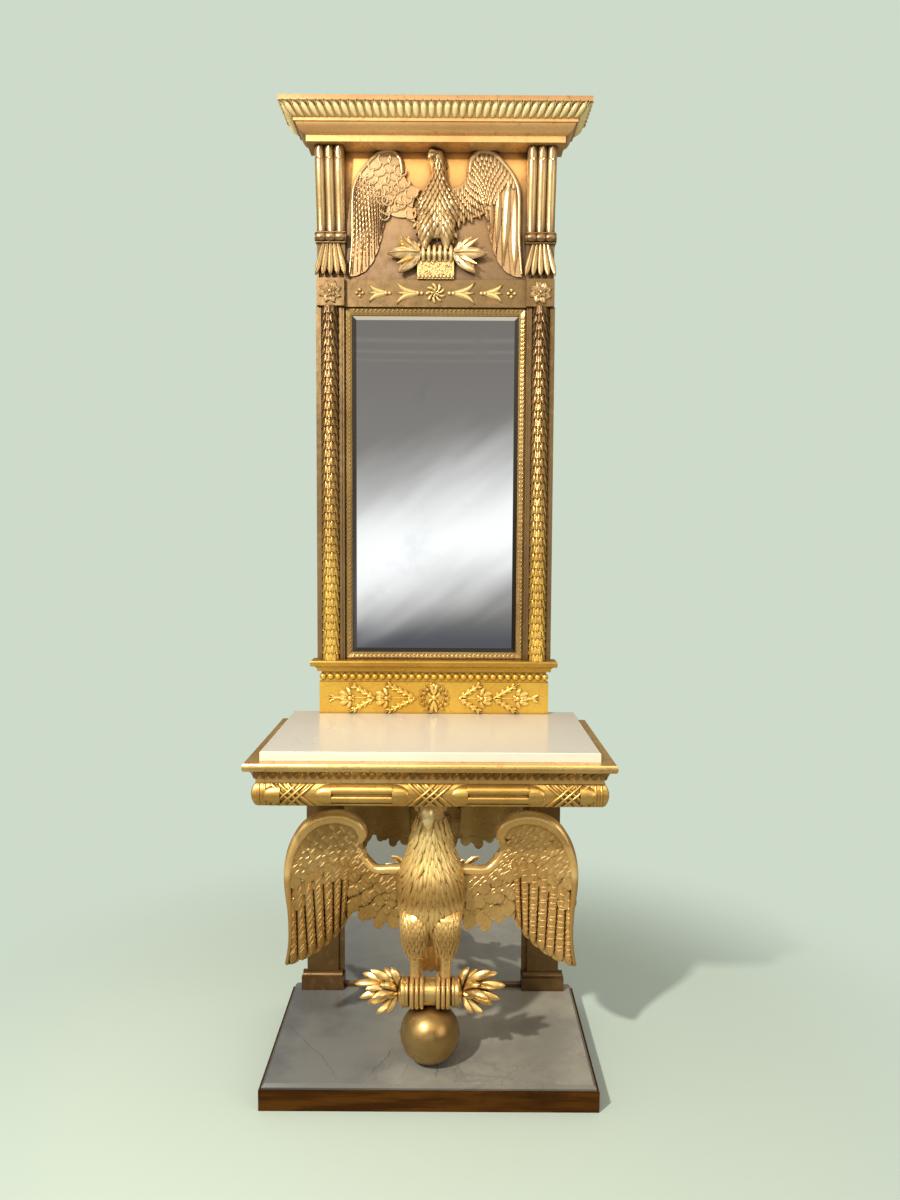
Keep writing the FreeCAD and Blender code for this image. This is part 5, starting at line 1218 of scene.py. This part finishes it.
# Leaves at each end of the relief thunderbolt: heading, length, width, turn, and depth behind the first.
RELIEF_LEAVES = ((60, 50, 12, -14, 0.0), (-72, 34, 14, 14, 0.0), (34, 66, 32, 14, 2.0),
                 (-38, 78, 36, -12, 4.0), (2, 88, 34, -10, 7.0))


def panel_face(x):
    return PANEL_Y


def relief_limit(a):
    """Share of the wing's depth that the coverts reach; the quills show below it."""
    return 1.0 if a < RELIEF_START else max(0.06, 0.98 - (a - RELIEF_START) / 0.50)


def carve_relief_wings():
    """The left wing has large rimmed coverts over corded quills, and the right one short dashes over
    broad smooth quills."""
    for way, side in SIDES:
        left = way < 0
        wing = Wing(way, RELIEF_LEAD, RELIEF_TRAIL, panel_face, Skin("relief_wings"), 17.0)
        bm = bmesh.new()
        count = 7 if left else 5
        share = (1.0 - RELIEF_START) / count
        for k in range(count):
            a0 = RELIEF_START + share * k
            start = max(0.0, relief_limit(a0 + share / 2.0) - 0.14)
            if left:
                wing.quill(bm, ROPE, a0, a0 + share * 0.50, start, 0.985, 4.5, 0.5, 0.9)
                wing.quill(bm, ROPE, a0 + share * 0.5, a0 + share, start, 1.0, 5.5, 0.5, 0.9)
            else:
                wing.quill(bm, BROAD, a0, a0 + share * 0.97, start, 1.0, 5.5, 0.5, 0.92)
        wing_roll(bm, way, RELIEF_ROLL, lambda u: (6.0 if left else 8.0) * (1.0 - 0.6 * u), 9.0, panel_face)
        piece("relief_quills_" + side, bm, RELIEF_GILT)

        bm = bmesh.new()
        size, pitch, count, root = (28.0, 27.0, 9, 0.5) if left else (22.0, 13.0, 22, 0.15)
        for row in range(int(170.0 / pitch), -1, -1):
            d = 1.0 + row * pitch
            for k in range(count):
                a = 0.02 + 0.96 * (k + 0.5 * (row % 2)) / count
                whole = wing.depth(a)
                if d + size * (0.6 if a > RELIEF_START else root) > relief_limit(a) * whole:
                    continue
                width = wing.lead.length * 0.96 / count * (1.0 - 0.25 * d / whole)
                if left:
                    wing.rim(bm, a, d, max(22.0, width * 1.02), size * rng.uniform(0.95, 1.05), 5.0)
                else:
                    wing.covert(bm, DASH, a, d, size * rng.uniform(0.95, 1.15), width * 0.80, 5.0, 2.0)
        piece("relief_coverts_" + side, bm, RIM_GILT if left else RELIEF_GILT)


def carve_relief_eagle():
    """Bold feathers down the breast and thighs, an eye and brow, six claws on the bolt, leaves at both
    its ends and a label with a beaded edge."""
    low, high = size_of("relief_eagle")
    skin = Skin("relief_eagle")

    def skin_y(px, pz):
        return min(PANEL_Y, skin.front(px, pz, PANEL_Y) - 0.5)
    bm = bmesh.new()
    for row in range(int((high.z - low.z - 26.0) / RELIEF_ROW)):
        z = low.z + 22.0 + row * RELIEF_ROW
        share = (z - low.z) / (high.z - low.z)
        pitch = 14.5 - 4.5 * share
        for k in range(-8, 9):
            x = 5.0 + (k + 0.5 * (row % 2)) * pitch
            here = skin.front(x, z, None)
            below = skin.front(x, z - 8.0, None)
            if here is None or below is None or here > PANEL_Y - 4.0 or z < RELIEF_FEATHERS_Z:
                continue
            lean = (x - 5.0) / 60.0 * 40.0 + rng.uniform(-5.0, 5.0)
            leaf(bm, STRAND, x, z + 6.0, -90.0 + lean, 27.0 * rng.uniform(0.9, 1.1) * (1.0 - 0.25 * share),
                 pitch * 0.92, 6.0, skin_y)
    ball(bm, -9.0, skin.front(-9.0, 2386.0, 215.0) + 1.0, 2386.0, 3.6)
    tongue(bm, Vector((8.0, skin.front(8.0, 2392.0, 215.0), 2394.0)),
           Vector((-18.0, skin.front(-12.0, 2392.0, 215.0) - 6.0, 2392.0)), 9.0, 7.0, 2.0)
    piece("relief_feathers", bm, RELIEF_BODY)

    bm = bmesh.new()
    for k in range(6):
        def claw(s, t, h):
            turn = math.pi * (0.62 - 0.98 * s)
            wide = 15.0 + h * 6.0
            return Vector((RELIEF_X + (k - 2.5) * 15.0 + t * 5.0, 233.7 - math.cos(turn) * wide,
                           RELIEF_BOLT_Z + math.sin(turn) * (wide + 4.0)))
        stamp(bm, REED, claw)
    piece("relief_claws", bm, CLAW_GILT)

    bm = bmesh.new()
    for way in (-1, 1):
        for angle, reach, width, turn, back in RELIEF_LEAVES:
            leaf(bm, BROAD_LEAF, RELIEF_X + way * RELIEF_BOLT_END, RELIEF_BOLT_Z, mirrored(way, angle),
                 reach, width, 10.0, PANEL_Y - 12.0 - back, turn * way, 6.0)
    for row in range(5):
        for k in range(11):
            leaf(bm, TINY_LEAF, -43.0 + 8.4 * k + rng.uniform(-2.5, 2.5), LABEL_TOP - 7.5 * row +
                 rng.uniform(-1.5, 1.5), rng.uniform(0, 360), 8.0, 5.5, 2.2, LABEL_Y)
    for k in range(10):
        ball(bm, -45.0 + 10.0 * k, LABEL_Y - 1.0, LABEL_BEADS_Z, 5.0, 0.8)
    piece("relief_leaves", bm, RELIEF_BODY)


# ------------------------------------------------------------------ columns, slips, rosettes, brackets
COLUMN_ROWS = 45
COLUMN_LEAVES = 10
SLIP_WIDTH = 20.0
SLIP_STEP = 12.0                # from one pair of leaves to the next
COLLAR_Z = (2164.0, 2190.0)     # fillets of a bracket's collar
KNOBS_Z = 2177.0
REEDS_TOP = 2372.0              # where the leaves over a bracket's reeds begin


def carve_columns():
    """Rows of pointed leaves that hang over one another."""
    low, high = size_of("column_right")
    radius = (high.x - low.x) / 2.0
    middle_x = (low.x + high.x) / 2.0
    middle_y = low.y + radius
    pitch = (high.z - low.z) / COLUMN_ROWS
    for way, side in SIDES:
        bm = bmesh.new()
        for row in range(COLUMN_ROWS):
            z = low.z + (row + 1) * pitch - 1.0
            for k in range(COLUMN_LEAVES):
                angle = TURN * (k + 0.5 * (row % 2)) / COLUMN_LEAVES
                if math.cos(angle) < -0.45:
                    continue

                def lay(s, t, h):
                    turned = angle + t * 0.29
                    away = radius - 2.6 + 1.6 * s + h * 3.6
                    return Vector((way * (middle_x + math.sin(turned) * away),
                                   middle_y - math.cos(turned) * away, max(low.z, z - s * pitch * 1.20)))
                stamp(bm, COLUMN_LEAF, lay)
        piece("column_leaves_" + side, bm, COLUMN_GILT)


def carve_slips():
    """Pairs of small leaves along the four slips round the tall glass."""
    low, high = size_of("glass_slips")
    skin = Skin("glass_slips")
    bm = bmesh.new()

    def slip_y(px, pz):
        return skin.front(px, pz, low.y + 4.0)

    def run(start, end, place, heading):
        """Leaves from start to end; place(u) is where a distance along the slip lies."""
        count = int((end - start) / SLIP_STEP)
        for k in range(count):
            for way in (-1, 1):
                leaf(bm, TINY_LEAF, *place(start + k * ((end - start) / count)), heading(way * 32.0), 13.0,
                     6.0, 2.6, slip_y)
    edge = SLIP_WIDTH / 2 + 1.0
    for x in (low.x + edge, high.x - edge):
        run(low.z + SLIP_WIDTH, high.z - SLIP_WIDTH, lambda u: (x, u), lambda lean: 90.0 - lean)
    for z in (low.z + edge, high.z - edge):
        run(low.x + SLIP_WIDTH, high.x - SLIP_WIDTH, lambda u: (u, z), lambda lean: lean)
    piece("slip_leaves", bm, STILE_GILT)


def carve_rosettes():
    """Two rings of cupped petals round a heart, on each corner block."""
    low, high = size_of("rosette_block_right")
    z = (low.z + high.z) / 2.0
    bm = bmesh.new()
    for way in (-1, 1):
        x = way * (low.x + high.x) / 2.0
        for k in range(8):
            angle = 45.0 * k + 11.0
            leaf(bm, LEAF, x + 4.0 * math.cos(math.radians(angle)), z + 4.0 * math.sin(math.radians(angle)),
                 angle, 28.0, 19.0, 6.5, low.y, 24.0)
        for k in range(5):
            leaf(bm, LEAF, x, z, 72.0 * k + 40.0, 18.0, 13.0, 7.5, low.y - 4.0, -30.0)
        ball(bm, x, low.y - 10.0, z, 4.6, 0.8)
    piece("carved_rosettes", bm, RELIEF_BODY, ("rosettes",))


def carve_brackets():
    """Knobs and fillets of the collar, leaves over the reeds, and deep flutes of the leaf under it."""
    low, high = size_of("bracket_right")
    inner = low.x + 4.0
    outer = high.x - 4.0
    width = (outer - inner) / 3.0
    for way, side in SIDES:
        skin = Skin("bracket_" + side)
        bm = bmesh.new()
        reeds = [way * (inner + (k + 0.5) * width) for k in range(3)]
        for x in reeds:
            def knob(u, angle):
                turn = math.pi * (0.03 + 0.94 * u)
                wide = math.sin(turn) ** 0.7
                return Vector((x - 14.5 * math.cos(turn), 214.0 - 9.5 * math.cos(angle) * wide,
                               KNOBS_Z + 11.5 * math.sin(angle) * wide))
            tube(bm, 12, 16, knob)
        for z in COLLAR_Z:
            stamp(bm, REED, lambda s, t, h: Vector((way * (inner - 3.0 + s * (outer - inner + 6.0)),
                                                    222.0 - h * 5.0, z + t * 3.4)))
        for x in reeds:
            def over(s, t, h):
                px = x + t * width * 0.47
                z = REEDS_TOP + s * 34.0
                return Vector((px, skin.front(px, min(z, 2406.0), 195.0) - h * 3.2, min(z, 2407.0)))
            stamp(bm, LEAF, over)
        piece("bracket_trim_" + side, bm, BRACKET_GILT)

        bm = bmesh.new()
        middle = way * (inner + outer) / 2.0
        for k in range(5):
            def flute(s, t, h):
                px = middle + (k - 2) * 9.5 + math.sin(math.radians((k - 2) * 7.0)) * s * 88.0 + \
                    t * (5.0 + 3.6 * s)
                return Vector((max(middle - 42.0, min(middle + 42.0, px)), 226.0 - h * 7.0 - 9.0 * s * s,
                               COLLAR_Z[0] - s * 88.0))
            stamp(bm, FLUTE, flute)
        for k in range(4):
            def under(s, t, h):
                px = middle + (k - 1.5) * 9.5 + math.sin(math.radians((k - 1.5) * 8.0)) * s * 76.0 + t * 6.0
                return Vector((px, 230.0 - h * 5.0 - 5.0 * s * s, COLLAR_Z[0] - 2.0 - s * 74.0))
            stamp(bm, LEAF, under)
        piece("bracket_leaf_" + side, bm, BRACKET_LEAF, ("bracket_leaves",))


# ------------------------------------------------------------------ frieze, base and mouldings
BELLS = ((49.0, 68.0), (136.0, 54.0))       # bellflowers from the middle: where one starts, and its reach
FRIEZE_BEADS_X = (38.0, 126.0)
DOTS_X = 208.0
WREATH_RADIUS = 33.0
WREATH_LEAVES = 14
CHEVRON_HALF = 38.0             # half the height of a chevron
CHEVRON_STEP = 17.0             # from one pair of its leaves to the next
PALMETTE = ((100, 29, 14, 55), (52, 34, 16, 62), (14, 30, 12, 30))      # heading, length, width and curl


def carve_frieze():
    """Bellflowers, beads, four-dot flowers and a whorled rosette on the board above the glass."""
    low, high = size_of("frieze_board")
    z = (low.z + high.z) / 2.0
    face = low.y
    bm = bmesh.new()
    for k in range(9):
        angle = math.radians(40.0 * k)
        leaf(bm, DROP, 5.0 * math.cos(angle), z + 5.0 * math.sin(angle), 40.0 * k, 24.0, 10.0, 6.5, face,
             70.0)
    for k in range(5):
        leaf(bm, DROP, 0.0, z, 72.0 * k + 20.0, 13.0, 9.0, 7.5, face - 2.0, 50.0)
    for way in (-1, 1):
        for x in FRIEZE_BEADS_X:
            ball(bm, way * x, face - 2.0, z, 5.4, 0.8)
        for start, reach in BELLS:
            for up in (-1, 1):
                leaf(bm, PETAL, way * start, z + up * 3.0, mirrored(way, up * -8.0), reach, 16.0, 7.5, face,
                     up * way * 66.0)
            leaf(bm, PETAL, way * (start + 8.0), z, mirrored(way, 0.0), reach * 0.74, 12.0, 5.5, face)
            ball(bm, way * start, face - 2.5, z, 6.0, 0.8)
        for dx, dz in ((-8.5, 0), (8.5, 0), (0, 8.5), (0, -8.5)):
            ball(bm, way * DOTS_X + dx, face - 2.0, z + dz, 5.0, 0.9)
    piece("carved_frieze", bm, FLOWER_GILT, ("frieze_ornament",))


def carve_base():
    """Wreath with a bow and torch, and on each side two palmettes behind leafed chevrons."""
    low, high = size_of("base_board")
    z = (low.z + high.z) / 2.0
    face = low.y
    bm = bmesh.new()
    for k in range(WREATH_LEAVES):
        angle = TURN * (k + 0.5) / WREATH_LEAVES
        along = math.degrees(angle) + (90.0 if math.cos(angle) > 0 else -90.0)
        for lean in (-30.0, 30.0):
            leaf(bm, LEAF, WREATH_RADIUS * math.cos(angle), z + WREATH_RADIUS * math.sin(angle),
                 along + lean, 17.0, 10.0, 7.0, face)
    for way in (-1, 1):
        leaf(bm, DROP, 0.0, z + 8.0, 90.0 + way * 16.0, 32.0, 13.0, 8.0, face)
        leaf(bm, DROP, 0.0, z - 6.0, -90.0 + way * 13.0, 34.0, 13.0, 8.0, face)
        leaf(bm, PETAL, 0.0, z, 90.0 - way * 68.0, 28.0, 9.0, 6.0, face, way * 50.0)
        leaf(bm, PETAL, 0.0, z, -90.0 + way * 62.0, 24.0, 8.0, 5.0, face, -way * 40.0)
    ball(bm, 0.0, face - 5.0, z + 2.0, 8.5, 0.8)
    ball(bm, 0.0, face - 3.0, z + 37.0, 6.0, 0.8)

    for way in (-1, 1):
        for apex, root, axial in ((52.0 if way < 0 else 72.0, 134.0, 34.0), (168.0, 237.0, 60.0)):
            leaf(bm, PETAL, way * (apex + 16.0), z, mirrored(way, 0.0), root - apex - 12.0, 5.0, 4.0, face)
            reach = math.hypot(root - 4.0 - apex, CHEVRON_HALF)
            slope = math.atan2(CHEVRON_HALF, root - 4.0 - apex)
            for up in (-1, 1):
                heading = up * math.degrees(slope)
                leaf(bm, CORD, way * apex, z, mirrored(way, heading), reach + 8.0, 11.0, 8.5, face)
                for j in range(int(reach / CHEVRON_STEP)):
                    px = apex + (6.0 + j * CHEVRON_STEP) * math.cos(slope)
                    pz = z + up * (6.0 + j * CHEVRON_STEP) * math.sin(slope)
                    for lean in (-26.0, 26.0):
                        leaf(bm, DROP, way * px, pz, mirrored(way, heading + lean), 17.0, 8.0, 7.0, face)
            for side in (-1, 1):
                for angle, length, width, curl in PALMETTE:
                    leaf(bm, LOBE, way * root, z + side * 2.0, mirrored(way, side * angle), length, width,
                         10.0, face, -curl * side * way)
                leaf(bm, LOBE, way * root, z, mirrored(way, side * 150.0), 15.0, 9.0, 7.0, face)
            leaf(bm, PETAL, way * root, z, mirrored(way, 0.0), axial, 10.0, 8.0, face)
            if axial > 50.0:
                for lean in (-32.0, 32.0):
                    leaf(bm, PETAL, way * (root + 40.0), z, mirrored(way, lean), 22.0, 9.0, 7.0, face)
            ball(bm, way * root, face - 6.0, z, 6.5, 0.8)
    piece("carved_base", bm, RICH_LEAF, ("base_ornament",))


MOULDING = (400.0, -232.5, 60.0)    # half width, front line and sounding place of the table's mouldings
STRAP_SPREAD = 58.0             # how far a crossed strap leans over its height
APRON_FOOT = 741.5
STRAPS_X = (-322.0, 0.0, 322.0)
SIDE_STRAPS = (78.0, 422.0)     # from the front line
REEDS = ((781.5, 11.2, 6.4), (757.6, 9.6, 6.2), (744.4, 2.6, 3.0))  # height, half width and rise
CUPS_Z = 767.5
CUPS_X = ((88.0, -1), (230.0, 1), (350.0, 1))   # each with the way it opens from the middle
BAND_FOOT = 806.0
BAND_STEP = 19.3


def carve_apron():
    """Bundled reeds bound by crossed straps, with a smooth cup at each end of the reeds."""
    run = Run("apron_front", *MOULDING)
    bm = bmesh.new()

    def straps(place, x):
        for way, rise in ((-1, 5.0), (1, 5.6)):
            for shift in (-19.0, 0.0, 19.0):
                stamp(bm, STRAP, lambda s, t, h: place(x + shift + way * (s - 0.5) * STRAP_SPREAD + t * 6.2,
                                                       APRON_FOOT + s * 52.0, h * rise))

    def reeds(place, x0, x1):
        for z, half, rise in REEDS:
            stamp(bm, REED, lambda s, t, h: place(x0 + s * (x1 - x0), z + t * half, h * rise))

    def cup(place, x, way):
        stamp(bm, CUP, lambda s, t, h: place(x + way * s * 40.0, CUPS_Z + t * 25.0, h * 6.8))

    def rib(place, x):
        stamp(bm, STRAP, lambda s, t, h: place(x + t * 3.4, APRON_FOOT + 1.0 + s * 50.0, h * 3.6))
    for x in STRAPS_X:
        straps(run.front, x)
    for way in (-1, 1):
        reeds(run.front, way * 84.0, way * 234.0)
        for x, opens in CUPS_X:
            cup(run.front, way * x, way * opens)
        for x in (386.0, 400.0):
            rib(run.front, way * x)
    for way in (-1, 1):
        side = run.side(way)
        for u in SIDE_STRAPS:
            straps(side, u)
        reeds(side, 168.0, 332.0)
        cup(side, 172.0, -1)
        cup(side, 328.0, 1)
        for u in (-4.0, 8.0):
            rib(side, u)
    piece("apron_carving", bm, APRON_GILT)


def carve_leaf_band():
    """Slanting leaves and drops in the hollow under the lip of the table."""
    run = Run("top_moulding_front", *MOULDING)
    bm = bmesh.new()

    def band(place, start, end):
        count = int(round((end - start) / BAND_STEP))
        pitch = (end - start) / count
        for k in range(count):
            u = start + (k + 0.5) * pitch
            shape, lean = (LEAF, 5.0) if k % 3 else (DROP, 9.0)
            stamp(bm, shape, lambda s, t, h: place(u + t * pitch * 0.46 + (s - 0.5) * lean,
                                                   BAND_FOOT + s * 20.0, h * 4.0 + 2.0 * s * (1.0 - s)))
    band(run.front, -414.0, 414.0)
    for way in (-1, 1):
        band(run.side(way), -14.0, 498.0)
    piece("table_leaf_band", bm, DARK_GILT)


TONGUES_Z = 2457.0              # foot of the cornice's tongues
SCALLOPS_Z = 2480.0
FRONT_TONGUES = 38
SIDE_TONGUES = 7


def carve_cornice():
    """Row of bright tongues in the hollow of the cornice, under a fine scalloped edge."""
    half, line_y, wall_y = 324.0, 187.5, 267.5
    run = Run("cornice_front", half, line_y, 0.0)
    bm = bmesh.new()

    def row(place, count, reach):
        """count tongues; reach(share, z) is where a share of the run lies at that height."""
        for k in range(count):
            share = (k + 0.5) / count

            def tongues(s, t, h):
                z = TONGUES_Z + s * 28.0
                return place(reach(share + t * 0.37 / count, z), z, h * 7.5)
            stamp(bm, EGG, tongues)
            for lean in (-1, 1):
                def scallop(s, t, h):
                    z = SCALLOPS_Z + s * 9.0 + t * 1.6
                    return place(reach(share + lean * (0.46 - 0.46 * s) / count, z), z, h * 3.2)
                stamp(bm, TINY_LEAF, scallop)
    row(run.front, FRONT_TONGUES, lambda share, z: (2.0 * share - 1.0) * (half + run.out(z)))
    for way in (-1, 1):
        row(run.side(way), SIDE_TONGUES,
            lambda share, z: wall_y - line_y - share * (wall_y - line_y + run.out(z)))
    piece("cornice_tongues", bm, TONGUE_GILT)


for carve in (carve_cracks, carve_body, carve_legs, carve_wings, carve_tail, carve_head, carve_flames,
              carve_bolt, carve_relief_wings, carve_relief_eagle, carve_columns, carve_slips, carve_rosettes,
              carve_brackets, carve_frieze, carve_base, carve_apron, carve_leaf_band, carve_cornice):
    carve()
